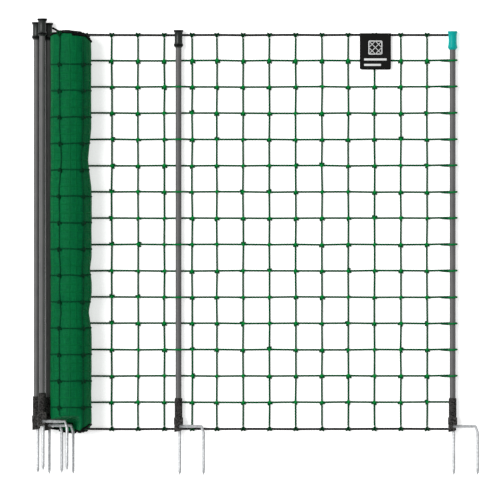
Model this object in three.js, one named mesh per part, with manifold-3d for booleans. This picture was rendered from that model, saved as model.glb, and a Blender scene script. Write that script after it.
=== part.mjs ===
// Poultry netting as it lies on a level floor: a panel of knotted mesh between a roll and an end post,
// a post woven through the panel, and three spare posts beside the roll.
// Millimetres. X runs along the fence, Y from its foot to its head, Z up from the floor.
// Inside the file x = 0 is the end post and y = 0 the foot line; the finished group is centred at the end.

import * as THREE from 'three';
import { mergeVertices } from 'three/addons/utils/BufferGeometryUtils.js';
import Module from 'manifold-3d';

const wasm = await Module();
wasm.setup();

// Net
const MESH = 75;
const TOP_MESH = 73;
const FOOT_MESH = 76.5;
const END_MESH = 72.7;
const ROW_COUNT = 14;
const COLUMN_COUNT = 14;
const TWINE = 5;
const PINCHED_TWINE = 2.4;
const POST_SPREAD = 4.4;
const ARCH_LEAN = 50;

// Head and foot lines
const LINE = 6.5;
const LINE_KNOT_WALL = 2.2;
const LINE_KNOT_WIDTH = 8;

// Posts
const ROD_DIAMETER = 17;
const POST_AXIS_HEIGHT = 14;
const WOVEN_POST_SPACING = 782;
const WOVEN_CAP_RISE = 14;
const END_CAP_RISE = 10.8;
const SOCKET_TOP_WALL = 20;
const ROD_IN_FOOT = 50;

// Caps
const CAP_LENGTH = 50;
const CAP_BODY_DIAMETER = 22.6;
const CAP_FLANGE_THICKNESS = 4.6;
const CAP_COLLAR_DIAMETER = 27;
const CAP_COLLAR_HEIGHT = 6.7;
const END_CAP_LENGTH = 53;
const END_CAP_BODY_DIAMETER = 24;

// Feet
const SLEEVE_DIAMETER = 22.5;
const SLEEVE_LENGTH = 55;
const BLOCK_WIDTH = 26;
const BLOCK_LENGTH = 21;
const BLOCK_CHAMFER = 2;
const HEEL_LEFT = 12;
const HEEL_RIGHT = 10;
const HEEL_LENGTH = 16;
const HEEL_SLANT = 5;
const FOOT_LINE_DROP = 88.5;

// Double spikes
const STEEL_DIAMETER = 8.8;
const SPIKE_OFFSET = 3.4;
const SPIKE_SPACING = 68;
const SPIKE_LENGTH = 140;
const SPIKE_POINT = 9;
const TREAD_DROP = 80.7;
const TREAD_STUB = 4.5;
const SPIKE_IN_FOOT = 22;

// Spare posts beside the roll: how far their caps stand past the head line
const SPARE_POST_LENGTH = 1067;
const SPARE_POST_SPACING = 33.1;
const RIGHT_SPARE_RISE = 34;
const LEFT_SPARE_RISE = 36.5;
const TOP_SPARE_RISE = 46;
const SPARE_FROM_ROLL = 70.1;

// Roll
const ROLL_X = -1083.4;
const ROLL_RADIUS = 56.7;
const HEAD_SLIMMING = 1.7;
const BORE_RADIUS = 10;
const TURN_PITCH = 6;
const TURN_GROOVE = 1.6;
const END_DOME = 12;
const END_REACH = 9;
const HEAD_CORNER = 12;
const FOOT_CORNER = 24;
const HEAD_END_SLANT = 0.1;
const ROLL_SIDES = 24;
const WAISTS = [
  { rise: 768, depth: 9, reach: 90 },
  { rise: 454, depth: 5, reach: 36 },
  { rise: 334, depth: 8, reach: 55 },
];
const FLAP_REACH = 60;
const FLAP_EDGE = 13.4;
const NOTCH_CLEARANCE = 3.8;
const NOTCH_LEAN = 22;
const NOTCH_FLOOR_EDGE = 7.5;
const NOTCH_TOP_EDGE = 26;

// Tag
const TAG_WIDTH = 89;
const TAG_HEIGHT = 104;
const TAG_THICKNESS = 1.5;
const TAG_CORNER = 5;
const TAG_LIP = 8;
const TAG_FROM_END_POST = 220.3;

// Clearances
const GAP = 0.3;
const SEAT_GAP = 0.5;

const NET_HEIGHT = TOP_MESH + (ROW_COUNT - 1) * MESH + FOOT_MESH;
const LINE_KNOT_HEIGHT = LINE + GAP + LINE_KNOT_WALL;
const ROD_RADIUS = ROD_DIAMETER / 2;
const STEEL_RADIUS = STEEL_DIAMETER / 2;
const ROLL_HEAD_RADIUS = ROLL_RADIUS - HEAD_SLIMMING;
const FLAP_THICKNESS = POST_AXIS_HEIGHT - STEEL_RADIUS - GAP;
const WOVEN_X = -WOVEN_POST_SPACING;

const degrees = THREE.MathUtils.degToRad;

const material = (color, roughness, metalness = 0) =>
  new THREE.MeshStandardMaterial({ color, roughness, metalness });
const finishes = {
  twine: () => material(0x04512a, 0.6),
  line: () => material(0x0b0b0c, 0.7),
  roll: () => material(0x02663a, 0.7),
  rod: () => material(0x666666, 0.45),
  cap: () => material(0x1c201d, 0.4),
  endCap: () => material(0x08a09a, 0.4),
  foot: () => material(0x222222, 0.6),
  steel: () => material(0xc4c4c4, 0.35, 0.9),
  tag: () => material(0x1b1b1a, 0.5),
};

// Boolean solids

function toSolid(geometry) {
  const bare = geometry.clone();
  bare.deleteAttribute('normal');
  bare.deleteAttribute('uv');
  const merged = mergeVertices(bare, 1e-4);
  const corners = merged.index.array;
  const triangles = [];
  for (let i = 0; i < corners.length; i += 3) {
    const [a, b, c] = corners.slice(i, i + 3);
    if (a !== b && b !== c && c !== a) triangles.push(a, b, c);
  }
  const mesh = new wasm.Mesh({
    numProp: 3,
    vertProperties: new Float32Array(merged.attributes.position.array),
    triVerts: new Uint32Array(triangles),
  });
  return new wasm.Manifold(mesh);
}

function toGeometry(solid) {
  const mesh = solid.getMesh();
  const geometry = new THREE.BufferGeometry();
  geometry.setAttribute('position', new THREE.BufferAttribute(mesh.vertProperties, 3));
  geometry.setIndex(new THREE.BufferAttribute(mesh.triVerts, 1));
  return geometry;
}

// Joins many solids in pairs, then merges the flat faces that the joins leave in strips
function join(solids) {
  let parts = solids;
  while (parts.length > 1) {
    const pairs = [];
    for (let i = 0; i < parts.length; i += 2) {
      pairs.push(i + 1 < parts.length ? parts[i].add(parts[i + 1]) : parts[i]);
    }
    parts = pairs;
  }
  return parts[0].asOriginal().simplify(1e-3);
}

function piece(name, solid, finish) {
  const mesh = new THREE.Mesh(toGeometry(solid), finish());
  mesh.name = name;
  return mesh;
}

// Small shapes

function box(x0, x1, y0, y1, z0, z1) {
  const block = new THREE.BoxGeometry(x1 - x0, y1 - y0, z1 - z0);
  block.translate((x0 + x1) / 2, (y0 + y1) / 2, (z0 + z1) / 2);
  return toSolid(block);
}

function barAlongX(x0, x1, y, z, radius, sides) {
  const bar = new THREE.CylinderGeometry(radius, radius, x1 - x0, sides);
  bar.rotateZ(Math.PI / 2);
  bar.translate((x0 + x1) / 2, y, z);
  return toSolid(bar);
}

function barAlongY(x, y0, y1, radius, sides) {
  const bar = new THREE.CylinderGeometry(radius, radius, y1 - y0, sides);
  bar.translate(x, (y0 + y1) / 2, 0);
  return toSolid(bar);
}

function turned(profile, sides) {
  const points = profile.map(([radius, y]) => new THREE.Vector2(radius, y));
  return toSolid(new THREE.LatheGeometry(points, sides));
}

function rope(points, steps) {
  const section = new THREE.Shape();
  section.absarc(0, 0, LINE / 2, 0, 2 * Math.PI);
  const route = new THREE.CatmullRomCurve3(points.map((p) => new THREE.Vector3(...p)), false, 'centripetal');
  const geometry = new THREE.ExtrudeGeometry(section, { extrudePath: route, steps, curveSegments: 4 });
  return toSolid(geometry);
}

// Net

const rowY = (row) => NET_HEIGHT - TOP_MESH - row * MESH;

function columnX(column) {
  const x = -END_MESH - column * MESH;
  const besideWovenPost = x > WOVEN_X && x - MESH < WOVEN_X;
  return besideWovenPost ? x + POST_SPREAD : x;
}

// Where the underside of the roll first clears something that lies under it
function rollClearance(height) {
  const rise = height + GAP;
  return Math.sqrt(2 * ROLL_RADIUS * rise - rise * rise);
}

// Height of a slanting strand's four corner points as it climbs over the woven post's rod
function archPoints() {
  const lean = degrees(ARCH_LEAN);
  const radius = ROD_RADIUS + GAP + TWINE / 2;
  const shoulder = radius / Math.cos((Math.PI / 2 - lean) / 2);
  const half = (Math.PI / 2 + lean) / 2;
  const shoulderX = shoulder * Math.cos(half);
  const shoulderZ = POST_AXIS_HEIGHT + shoulder * Math.sin(half);
  const run = (shoulderZ - TWINE / 2) * Math.tan(lean);
  return [
    [-shoulderX - run, TWINE / 2],
    [-shoulderX, shoulderZ],
    [shoulderX, shoulderZ],
    [shoulderX + run, TWINE / 2],
  ];
}

// Offsets a centre line sideways with mitred corners
function offsetPath(points, distance) {
  return points.map(([x, z], i) => {
    const before = points[Math.max(i - 1, 0)];
    const after = points[Math.min(i + 1, points.length - 1)];
    const into = new THREE.Vector2(x - before[0], z - before[1]);
    const out = new THREE.Vector2(after[0] - x, after[1] - z);
    if (into.lengthSq() === 0) into.copy(out);
    if (out.lengthSq() === 0) out.copy(into);
    into.normalize();
    out.normalize();
    const normal = new THREE.Vector2(-into.y - out.y, into.x + out.x).normalize();
    const stretch = distance / (normal.x * -into.y + normal.y * into.x);
    return [x + normal.x * stretch, z + normal.y * stretch];
  });
}

// A row of twine seen from the side: under or over the woven post, then a loop around the end post
function rowOutline(row) {
  const start = ROLL_X + rollClearance(TWINE);
  const overRod = row % 2 === 1 && row < ROW_COUNT - 1;
  const atSleeve = row === ROW_COUNT - 1;
  const half = TWINE / 2;
  const centre = [[start, half]];
  if (overRod) {
    archPoints().forEach(([x, z]) => centre.push([WOVEN_X + x, z]));
  }
  const sleeve = SLEEVE_DIAMETER / 2;
  const loop = POST_AXIS_HEIGHT;
  const loopCorner = loop * Math.tan(Math.PI / 8);
  if (atSleeve) {
    const shape = new THREE.Shape();
    const pinch = [start, WOVEN_X - sleeve, WOVEN_X - sleeve / 2, WOVEN_X + sleeve / 2, WOVEN_X + sleeve];
    shape.moveTo(start, 0);
    shape.lineTo(sleeve / 2, 0);
    shape.lineTo(sleeve / 2, PINCHED_TWINE);
    shape.lineTo(-sleeve / 2, PINCHED_TWINE);
    shape.lineTo(-sleeve, TWINE);
    shape.lineTo(pinch[4], TWINE);
    shape.lineTo(pinch[3], PINCHED_TWINE);
    shape.lineTo(pinch[2], PINCHED_TWINE);
    shape.lineTo(pinch[1], TWINE);
    shape.lineTo(pinch[0], TWINE);
    return shape;
  }
  const joint = -loop + (loop - loopCorner) - TWINE;
  centre.push([joint, half]);
  const under = offsetPath(centre, -half).slice(0, -1);
  const above = offsetPath(centre, half);
  const outline = [
    ...under,
    [loopCorner, 0],
    [loop, loop - loopCorner],
    [loop, loop + loopCorner],
    [loopCorner, 2 * loop],
    [-loopCorner, 2 * loop],
    [-loop, loop + loopCorner],
    [-loop, loop - loopCorner],
    ...above.reverse(),
  ];
  const shape = new THREE.Shape(outline.map(([x, z]) => new THREE.Vector2(x, z)));
  const eye = ROD_RADIUS + GAP;
  const eyeVertex = eye / Math.cos(Math.PI / 8);
  const corners = [];
  for (let k = 0; k < 8; k += 1) {
    const angle = Math.PI / 8 + (k * Math.PI) / 4;
    corners.push(new THREE.Vector2(eyeVertex * Math.cos(angle), loop + eyeVertex * Math.sin(angle)));
  }
  shape.holes.push(new THREE.Path(corners));
  return shape;
}

function rowOfTwine(row) {
  const geometry = new THREE.ExtrudeGeometry(rowOutline(row), { depth: TWINE, bevelEnabled: false });
  geometry.rotateX(Math.PI / 2);
  geometry.translate(0, rowY(row) + TWINE / 2, 0);
  return toSolid(geometry);
}

function columnOfTwine(column) {
  const x = columnX(column);
  const end = LINE / 2 + GAP + LINE_KNOT_WALL / 2;
  return box(x - TWINE / 2, x + TWINE / 2, end, NET_HEIGHT - end, 0, TWINE);
}

// A loop of twine that straddles the head or foot line
function lineKnot(x, y) {
  const inner = LINE / 2 + GAP;
  const outer = inner + LINE_KNOT_WALL;
  const saddle = new THREE.Shape();
  saddle.moveTo(-outer, 0);
  saddle.lineTo(-inner, 0);
  saddle.lineTo(-inner, LINE + GAP);
  saddle.lineTo(inner, LINE + GAP);
  saddle.lineTo(inner, 0);
  saddle.lineTo(outer, 0);
  saddle.lineTo(outer, LINE_KNOT_HEIGHT);
  saddle.lineTo(-outer, LINE_KNOT_HEIGHT);
  const geometry = new THREE.ExtrudeGeometry(saddle, { depth: LINE_KNOT_WIDTH, bevelEnabled: false });
  geometry.rotateX(Math.PI / 2);
  geometry.rotateZ(Math.PI / 2);
  geometry.translate(x - LINE_KNOT_WIDTH / 2, y, 0);
  return toSolid(geometry);
}

function netMesh() {
  const strands = [];
  for (let row = 0; row < ROW_COUNT; row += 1) strands.push(rowOfTwine(row));
  for (let column = 0; column < COLUMN_COUNT; column += 1) {
    const x = columnX(column);
    strands.push(columnOfTwine(column), lineKnot(x, 0), lineKnot(x, NET_HEIGHT));
  }
  return piece('net_mesh', join(strands), finishes.twine);
}

function edgeLine(name, y, start) {
  const stop = ROD_RADIUS / 2;
  return piece(name, barAlongX(start, stop, y, LINE / 2, LINE / 2, 8), finishes.line);
}

// Posts, in a frame whose origin is on the post's axis at the top of its cap

function capProfile() {
  const flange = POST_AXIS_HEIGHT;
  const body = CAP_BODY_DIAMETER / 2;
  const bore = ROD_RADIUS + GAP;
  return [
    [0, -SOCKET_TOP_WALL],
    [bore, -SOCKET_TOP_WALL],
    [bore, -CAP_LENGTH],
    [bore + 1, -CAP_LENGTH],
    [CAP_COLLAR_DIAMETER / 2 - 1.5, -CAP_LENGTH + CAP_COLLAR_HEIGHT / 2],
    [CAP_COLLAR_DIAMETER / 2, -CAP_LENGTH + CAP_COLLAR_HEIGHT],
    [body, -CAP_LENGTH + 2 * CAP_COLLAR_HEIGHT],
    [body, -2 * CAP_FLANGE_THICKNESS],
    [flange, -CAP_FLANGE_THICKNESS],
    [flange, 0],
    [0, 0],
  ];
}

function endCapProfile() {
  const flange = POST_AXIS_HEIGHT;
  const body = END_CAP_BODY_DIAMETER / 2;
  const bore = ROD_RADIUS + GAP;
  return [
    [0, -SOCKET_TOP_WALL],
    [bore, -SOCKET_TOP_WALL],
    [bore, -END_CAP_LENGTH],
    [bore + 1, -END_CAP_LENGTH],
    [flange - 1, -END_CAP_LENGTH + CAP_COLLAR_HEIGHT * 0.8],
    [flange, -END_CAP_LENGTH + CAP_COLLAR_HEIGHT * 1.2],
    [body, -END_CAP_LENGTH + 2.2 * CAP_COLLAR_HEIGHT],
    [body - 0.3, -END_CAP_LENGTH / 2],
    [body, -2 * CAP_FLANGE_THICKNESS],
    [flange - 0.6, -CAP_FLANGE_THICKNESS],
    [flange, -1],
    [flange - 1, 0],
    [0, 0],
  ];
}

// The groove that holds a line lies at the back, where the line runs along the floor
function lineGroove(y) {
  const half = LINE / 2 + SEAT_GAP;
  const reach = 2 * POST_AXIS_HEIGHT;
  const top = LINE + SEAT_GAP - POST_AXIS_HEIGHT;
  return box(-reach, reach, y - half, y + half, -reach, top);
}

function capSolid(profile, rise) {
  return turned(profile, 16).subtract(lineGroove(-rise));
}

function footSolid() {
  const chamfer = BLOCK_CHAMFER;
  const half = BLOCK_WIDTH / 2;
  const blockTop = -SLEEVE_LENGTH;
  const blockFoot = blockTop - BLOCK_LENGTH;
  const heelFoot = blockFoot - HEEL_LENGTH;
  const outline = new THREE.Shape();
  outline.moveTo(-half, blockTop);
  outline.lineTo(-half, blockFoot);
  outline.lineTo(-HEEL_LEFT, blockFoot - chamfer);
  outline.lineTo(-HEEL_LEFT, heelFoot - HEEL_SLANT);
  outline.lineTo(HEEL_RIGHT, heelFoot);
  outline.lineTo(HEEL_RIGHT, blockFoot - chamfer);
  outline.lineTo(half, blockFoot);
  outline.lineTo(half, blockTop);
  const block = new THREE.ExtrudeGeometry(outline, {
    depth: 2 * (POST_AXIS_HEIGHT - chamfer),
    bevelThickness: chamfer,
    bevelSize: chamfer,
    bevelOffset: -chamfer,
    bevelSegments: 1,
  });
  block.translate(0, 0, chamfer - POST_AXIS_HEIGHT);
  const rodHole = barAlongY(0, -ROD_IN_FOOT - GAP, 1, ROD_RADIUS + GAP, 16);
  const spikeTop = -TREAD_DROP + SPIKE_IN_FOOT + GAP;
  const spikeHole = barAlongY(SPIKE_OFFSET, -2 * SLEEVE_LENGTH, spikeTop, STEEL_RADIUS + GAP, 8);
  const slotHalf = STEEL_RADIUS + GAP;
  const slot = box(
    SPIKE_OFFSET - TREAD_STUB - GAP, BLOCK_WIDTH,
    -TREAD_DROP - slotHalf, -TREAD_DROP + slotHalf,
    -slotHalf, 2 * POST_AXIS_HEIGHT,
  );
  return barAlongY(0, blockTop - BLOCK_LENGTH / 2, 0, SLEEVE_DIAMETER / 2, 16)
    .add(toSolid(block))
    .subtract(rodHole)
    .subtract(spikeHole)
    .subtract(slot)
    .subtract(lineGroove(-FOOT_LINE_DROP));
}

function spikeLeg(x, top) {
  const foot = -TREAD_DROP - SPIKE_LENGTH;
  const point = new THREE.CylinderGeometry(STEEL_RADIUS, 0, SPIKE_POINT, 8);
  point.translate(x, foot + SPIKE_POINT / 2, 0);
  return barAlongY(x, foot + SPIKE_POINT, top, STEEL_RADIUS, 8).add(toSolid(point));
}

function doubleSpikeSolid() {
  const outer = SPIKE_OFFSET + SPIKE_SPACING;
  const bend = new THREE.SphereGeometry(STEEL_RADIUS, 8, 6);
  bend.translate(outer, -TREAD_DROP, 0);
  return spikeLeg(SPIKE_OFFSET, -TREAD_DROP + SPIKE_IN_FOOT)
    .add(barAlongX(SPIKE_OFFSET - TREAD_STUB, outer, -TREAD_DROP, 0, STEEL_RADIUS, 8))
    .add(toSolid(bend))
    .add(spikeLeg(outer, -TREAD_DROP));
}

// length runs from the top of the cap to the top of the foot
function post(name, length, rise, capShape, capFinish) {
  const group = new THREE.Group();
  const foot = piece(`${name}_foot`, footSolid(), finishes.foot);
  const spike = piece(`${name}_double_spike`, doubleSpikeSolid(), finishes.steel);
  foot.position.y = -length;
  spike.position.y = -length;
  const rodFoot = -length - ROD_IN_FOOT;
  const rodTop = -SOCKET_TOP_WALL - GAP;
  group.add(piece(`${name}_cap`, capSolid(capShape, rise), capFinish));
  group.add(piece(`${name}_rod`, barAlongY(0, rodFoot, rodTop, ROD_RADIUS, 16), finishes.rod));
  group.add(foot, spike);
  return group;
}

function fencePost(name, x, rise, capShape, capFinish) {
  const length = NET_HEIGHT + rise - FOOT_LINE_DROP;
  const group = post(name, length, rise, capShape, capFinish);
  group.position.set(x, NET_HEIGHT + rise, POST_AXIS_HEIGHT);
  return group;
}

// Spare posts: two side by side, the right one with its foot on the left one's tread, and one on top

const rightSpareX = ROLL_X - SPARE_FROM_ROLL;
const treadY = (rise) => NET_HEIGHT + rise - SPARE_POST_LENGTH - TREAD_DROP;

function sparePost(name, x, rise, height, slope) {
  const group = post(name, SPARE_POST_LENGTH, WOVEN_CAP_RISE, capProfile(), finishes.cap);
  group.position.set(x, NET_HEIGHT + rise, height);
  group.rotation.x = -Math.atan(slope);
  return group;
}

function spareSlopes() {
  const rightTop = NET_HEIGHT + RIGHT_SPARE_RISE;
  const overTread = 2 * POST_AXIS_HEIGHT + STEEL_RADIUS + GAP;
  const rightSlope = (overTread - POST_AXIS_HEIGHT) / (rightTop - treadY(LEFT_SPARE_RISE));
  const capReach = POST_AXIS_HEIGHT + CAP_BODY_DIAMETER / 2 + GAP;
  const across = SPARE_POST_SPACING / 2;
  const seatHeight = POST_AXIS_HEIGHT + Math.sqrt(capReach * capReach - across * across);
  const footSeatY = rightTop - SPARE_POST_LENGTH - SLEEVE_LENGTH;
  const rightAtSeat = POST_AXIS_HEIGHT + rightSlope * (rightTop - footSeatY);
  const topAtSeat = rightAtSeat + 2 * POST_AXIS_HEIGHT + GAP;
  const topSlope = (topAtSeat - seatHeight) / (rightTop - footSeatY);
  const topHeight = seatHeight - topSlope * (TOP_SPARE_RISE - RIGHT_SPARE_RISE);
  return { rightSlope, topSlope, topHeight };
}

function sparePosts() {
  const { rightSlope, topSlope, topHeight } = spareSlopes();
  const leftX = rightSpareX - SPARE_POST_SPACING;
  const topX = rightSpareX - SPARE_POST_SPACING / 2;
  return [
    sparePost('spare_post_left', leftX, LEFT_SPARE_RISE, POST_AXIS_HEIGHT, 0),
    sparePost('spare_post_right', rightSpareX, RIGHT_SPARE_RISE, POST_AXIS_HEIGHT, rightSlope),
    sparePost('spare_post_top', topX, TOP_SPARE_RISE, topHeight, topSlope),
  ];
}

// Roll

const domeHeight = (radius) => END_REACH - END_DOME * (radius / ROLL_RADIUS) ** 2;

// Points of one end from the bore outwards: ridges of the turns, then a rounded corner
function rollEnd(outerRadius, corner) {
  const points = [];
  for (let radius = BORE_RADIUS; radius < outerRadius - corner; radius += TURN_PITCH) {
    points.push([radius, domeHeight(radius)]);
    points.push([radius + TURN_PITCH / 2, domeHeight(radius) - TURN_GROOVE]);
  }
  const shoulder = domeHeight(outerRadius - corner) - corner;
  for (const angle of [90, 60, 30, 0]) {
    const turn = degrees(angle);
    points.push([outerRadius - corner + corner * Math.cos(turn), shoulder + corner * Math.sin(turn)]);
  }
  return points;
}

// Outer radius of the roll, drawn in at its waists and a little slimmer towards the head
function rollRadius(y) {
  const slimming = (ROLL_RADIUS - ROLL_HEAD_RADIUS) * THREE.MathUtils.smoothstep(y, NET_HEIGHT / 2, NET_HEIGHT);
  let radius = ROLL_RADIUS - slimming;
  for (const { rise, depth, reach } of WAISTS) {
    const away = Math.min(Math.abs(y - rise) / reach, 1);
    radius -= depth * Math.cos((away * Math.PI) / 2) ** 2;
  }
  return radius;
}

function rollSide() {
  const stations = [];
  for (const { rise, reach } of WAISTS) {
    for (const share of [-1, -0.5, 0, 0.5, 1]) stations.push(rise + share * reach);
  }
  return stations.sort((a, b) => a - b).map((y) => [rollRadius(y), y]);
}

function rollBody() {
  const foot = rollEnd(ROLL_RADIUS, FOOT_CORNER).map(([radius, y]) => [radius, -y]);
  const head = rollEnd(ROLL_HEAD_RADIUS, HEAD_CORNER).map(([radius, y]) => [radius, NET_HEIGHT + y]);
  const profile = [...foot, ...rollSide(), ...head.reverse()];
  profile.push(profile[0]);
  const points = profile.map(([radius, y]) => new THREE.Vector2(radius, y));
  const lathe = new THREE.LatheGeometry(points, ROLL_SIDES);
  const place = lathe.attributes.position;
  for (let i = 0; i < place.count; i += 1) {
    const share = Math.max(0, place.getY(i) / NET_HEIGHT - 0.5) * 2;
    place.setY(i, place.getY(i) - HEAD_END_SLANT * share * place.getX(i));
  }
  lathe.translate(0, 0, ROLL_RADIUS);
  return toSolid(lathe);
}

const NOTCH_FLOOR_DEPTH = treadY(RIGHT_SPARE_RISE) + STEEL_RADIUS + NOTCH_CLEARANCE;
const NOTCH_TOP_DEPTH = NOTCH_FLOOR_DEPTH + NOTCH_LEAN;

// The hollow that the spare posts' treads press into the roll's foot end, widening upwards
function treadNotch() {
  const bottom = new THREE.Vector3(NOTCH_FLOOR_EDGE, NOTCH_FLOOR_DEPTH, FLAP_THICKNESS);
  const top = new THREE.Vector3(NOTCH_TOP_EDGE, NOTCH_TOP_DEPTH, 2 * ROLL_RADIUS + END_REACH);
  const left = -2 * ROLL_RADIUS;
  const low = Math.min(NOTCH_FLOOR_DEPTH, 0) - 2 * END_REACH - END_DOME;
  const wedge = new THREE.BoxGeometry(1, 1, 1);
  const place = wedge.attributes.position;
  for (let i = 0; i < place.count; i += 1) {
    const level = place.getZ(i) > 0 ? top : bottom;
    const x = place.getX(i) > 0 ? level.x : left;
    const y = place.getY(i) > 0 ? level.y : low;
    place.setXYZ(i, x, y, level.z);
  }
  return toSolid(wedge);
}

// The outer turn of netting that spreads flat on the floor, from behind the treads or from the
// roll's own corner to its foot end
function flap() {
  const inside = Math.max(NOTCH_TOP_DEPTH, FOOT_CORNER);
  const outline = new THREE.Shape();
  outline.moveTo(-FLAP_REACH, inside);
  outline.lineTo(-FLAP_REACH, -domeHeight(FLAP_REACH));
  outline.quadraticCurveTo(-FLAP_REACH / 2, -END_REACH, FLAP_EDGE, -END_REACH);
  outline.lineTo(FLAP_EDGE, inside);
  const geometry = new THREE.ExtrudeGeometry(outline, {
    depth: FLAP_THICKNESS, bevelEnabled: false, curveSegments: 4,
  });
  return toSolid(geometry);
}

function netRoll() {
  const roll = piece('net_roll', rollBody().subtract(treadNotch()).add(flap()), finishes.roll);
  roll.position.x = ROLL_X;
  return roll;
}

// Short stretches of line from the roll to the spare post beside it

function headTie() {
  const y = NET_HEIGHT + RIGHT_SPARE_RISE - WOVEN_CAP_RISE;
  const z = LINE / 2;
  const route = [
    [rightSpareX - ROD_RADIUS, y, z],
    [rightSpareX + ROD_RADIUS, y, z],
    [rightSpareX + POST_AXIS_HEIGHT, y - GAP, z],
    [ROLL_X - ROLL_RADIUS / 2, NET_HEIGHT, z],
    [ROLL_X - ROLL_RADIUS / 2.2, NET_HEIGHT - HEAD_CORNER / 2, z],
  ];
  return piece('head_line_tie', rope(route, 8), finishes.line);
}

function footTie() {
  const { rightSlope } = spareSlopes();
  const y = NET_HEIGHT + RIGHT_SPARE_RISE - SPARE_POST_LENGTH - FOOT_LINE_DROP;
  const grooveZ = rightSlope * (NET_HEIGHT + RIGHT_SPARE_RISE - y) + LINE / 2;
  const flapZ = FLAP_THICKNESS + SEAT_GAP + LINE / 2;
  const route = [
    [rightSpareX - HEEL_RIGHT, y, grooveZ],
    [rightSpareX + HEEL_RIGHT / 2, y, grooveZ],
    [rightSpareX + HEEL_RIGHT, y - GAP, grooveZ - GAP],
    [ROLL_X - FLAP_REACH + 2 * LINE, y - LINE / 2, flapZ],
    [ROLL_X - FLAP_REACH + 3.4 * LINE, y - LINE / 2, flapZ],
  ];
  return piece('foot_line_tie', rope(route, 8), finishes.line);
}

// Tag: a bare plate that hangs by its folded lip over the head line

function tagPlate() {
  const bottom = NET_HEIGHT + LINE / 2 + GAP + TAG_THICKNESS - TAG_HEIGHT;
  const top = NET_HEIGHT + LINE / 2 + GAP + TAG_THICKNESS;
  const left = -TAG_FROM_END_POST - TAG_WIDTH / 2;
  const right = left + TAG_WIDTH;
  const under = LINE_KNOT_HEIGHT + GAP;
  const outline = new THREE.Shape();
  outline.moveTo(left, top);
  outline.lineTo(left, bottom + TAG_CORNER);
  outline.quadraticCurveTo(left, bottom, left + TAG_CORNER, bottom);
  outline.lineTo(right - TAG_CORNER, bottom);
  outline.quadraticCurveTo(right, bottom, right, bottom + TAG_CORNER);
  outline.lineTo(right, top);
  const plate = new THREE.ExtrudeGeometry(outline, {
    depth: TAG_THICKNESS, bevelEnabled: false, curveSegments: 3,
  });
  plate.translate(0, 0, under);
  const lip = box(left, right, top - TAG_THICKNESS, top, under - TAG_LIP, under + TAG_THICKNESS / 2);
  let knotRoom = null;
  for (let column = 0; column < COLUMN_COUNT; column += 1) {
    const x = columnX(column);
    if (x > left && x < right) {
      const half = LINE_KNOT_WIDTH / 2 + GAP;
      knotRoom = box(x - half, x + half, NET_HEIGHT, NET_HEIGHT + LINE * 2, -1, under);
    }
  }
  const solid = toSolid(plate).add(lip);
  return piece('tag_plate', knotRoom ? solid.subtract(knotRoom) : solid, finishes.tag);
}

// Whole object

const netting = new THREE.Group();
netting.add(
  netMesh(),
  edgeLine('head_line', NET_HEIGHT, ROLL_X + rollClearance(LINE)),
  edgeLine('foot_line', 0, ROLL_X + FLAP_EDGE + GAP),
  netRoll(),
  fencePost('woven_post', WOVEN_X, WOVEN_CAP_RISE, capProfile(), finishes.cap),
  fencePost('end_post', 0, END_CAP_RISE, endCapProfile(), finishes.endCap),
  ...sparePosts(),
  headTie(),
  footTie(),
  tagPlate(),
);

const bounds = new THREE.Box3().setFromObject(netting);
const middle = bounds.getCenter(new THREE.Vector3());
netting.position.set(-middle.x, -middle.y, -bounds.min.z);

export default netting;
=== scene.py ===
"""Poultry netting laid out on a pale floor: net panel, roll, edge lines, five posts and a tag.

Metres. X runs along the fence from the roll to the end post, Y from the foot line to the head line,
and Z up from the floor.
"""

import logging
import math
import random
from collections.abc import Iterable, Sequence
from dataclasses import dataclass
from enum import Enum

import bmesh
import bpy
from mathutils import Matrix, Vector, noise
from mathutils.bvhtree import BVHTree
from mathutils.geometry import interpolate_bezier


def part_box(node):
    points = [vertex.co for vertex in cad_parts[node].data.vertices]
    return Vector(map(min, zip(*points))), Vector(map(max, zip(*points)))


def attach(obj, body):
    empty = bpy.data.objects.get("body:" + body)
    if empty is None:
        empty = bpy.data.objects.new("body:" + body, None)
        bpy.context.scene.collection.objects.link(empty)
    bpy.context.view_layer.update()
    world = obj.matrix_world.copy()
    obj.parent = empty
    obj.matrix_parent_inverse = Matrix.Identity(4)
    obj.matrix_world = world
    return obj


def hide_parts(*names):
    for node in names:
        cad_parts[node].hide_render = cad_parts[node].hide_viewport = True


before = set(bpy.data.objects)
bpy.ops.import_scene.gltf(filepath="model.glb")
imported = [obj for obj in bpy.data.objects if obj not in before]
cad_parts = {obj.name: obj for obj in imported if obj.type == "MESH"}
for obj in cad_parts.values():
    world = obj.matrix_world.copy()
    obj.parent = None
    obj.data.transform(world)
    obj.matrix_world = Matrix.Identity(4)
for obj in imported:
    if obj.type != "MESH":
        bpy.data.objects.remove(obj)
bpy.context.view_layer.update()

BODY = "root"
TOUCH = 0.0001
MERGE = 1e-6
CREASE = 60.0
Colour = tuple[float, float, float, float]
RoutePoint = tuple[Vector, float]

log = logging.getLogger("netting")


def srgb(red: int, green: int, blue: int) -> Colour:
    """Turns a display colour into the renderer's linear one.

    Args:
        red: 0 to 255.
        green: 0 to 255.
        blue: 0 to 255.

    Returns:
        Linear red, green, blue and an alpha of 1.
    """
    shares = [value / 255 for value in (red, green, blue)]
    linear = [share / 12.92 if share <= 0.04045 else ((share + 0.055) / 1.055) ** 2.4 for share in shares]
    return (linear[0], linear[1], linear[2], 1.0)


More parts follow.
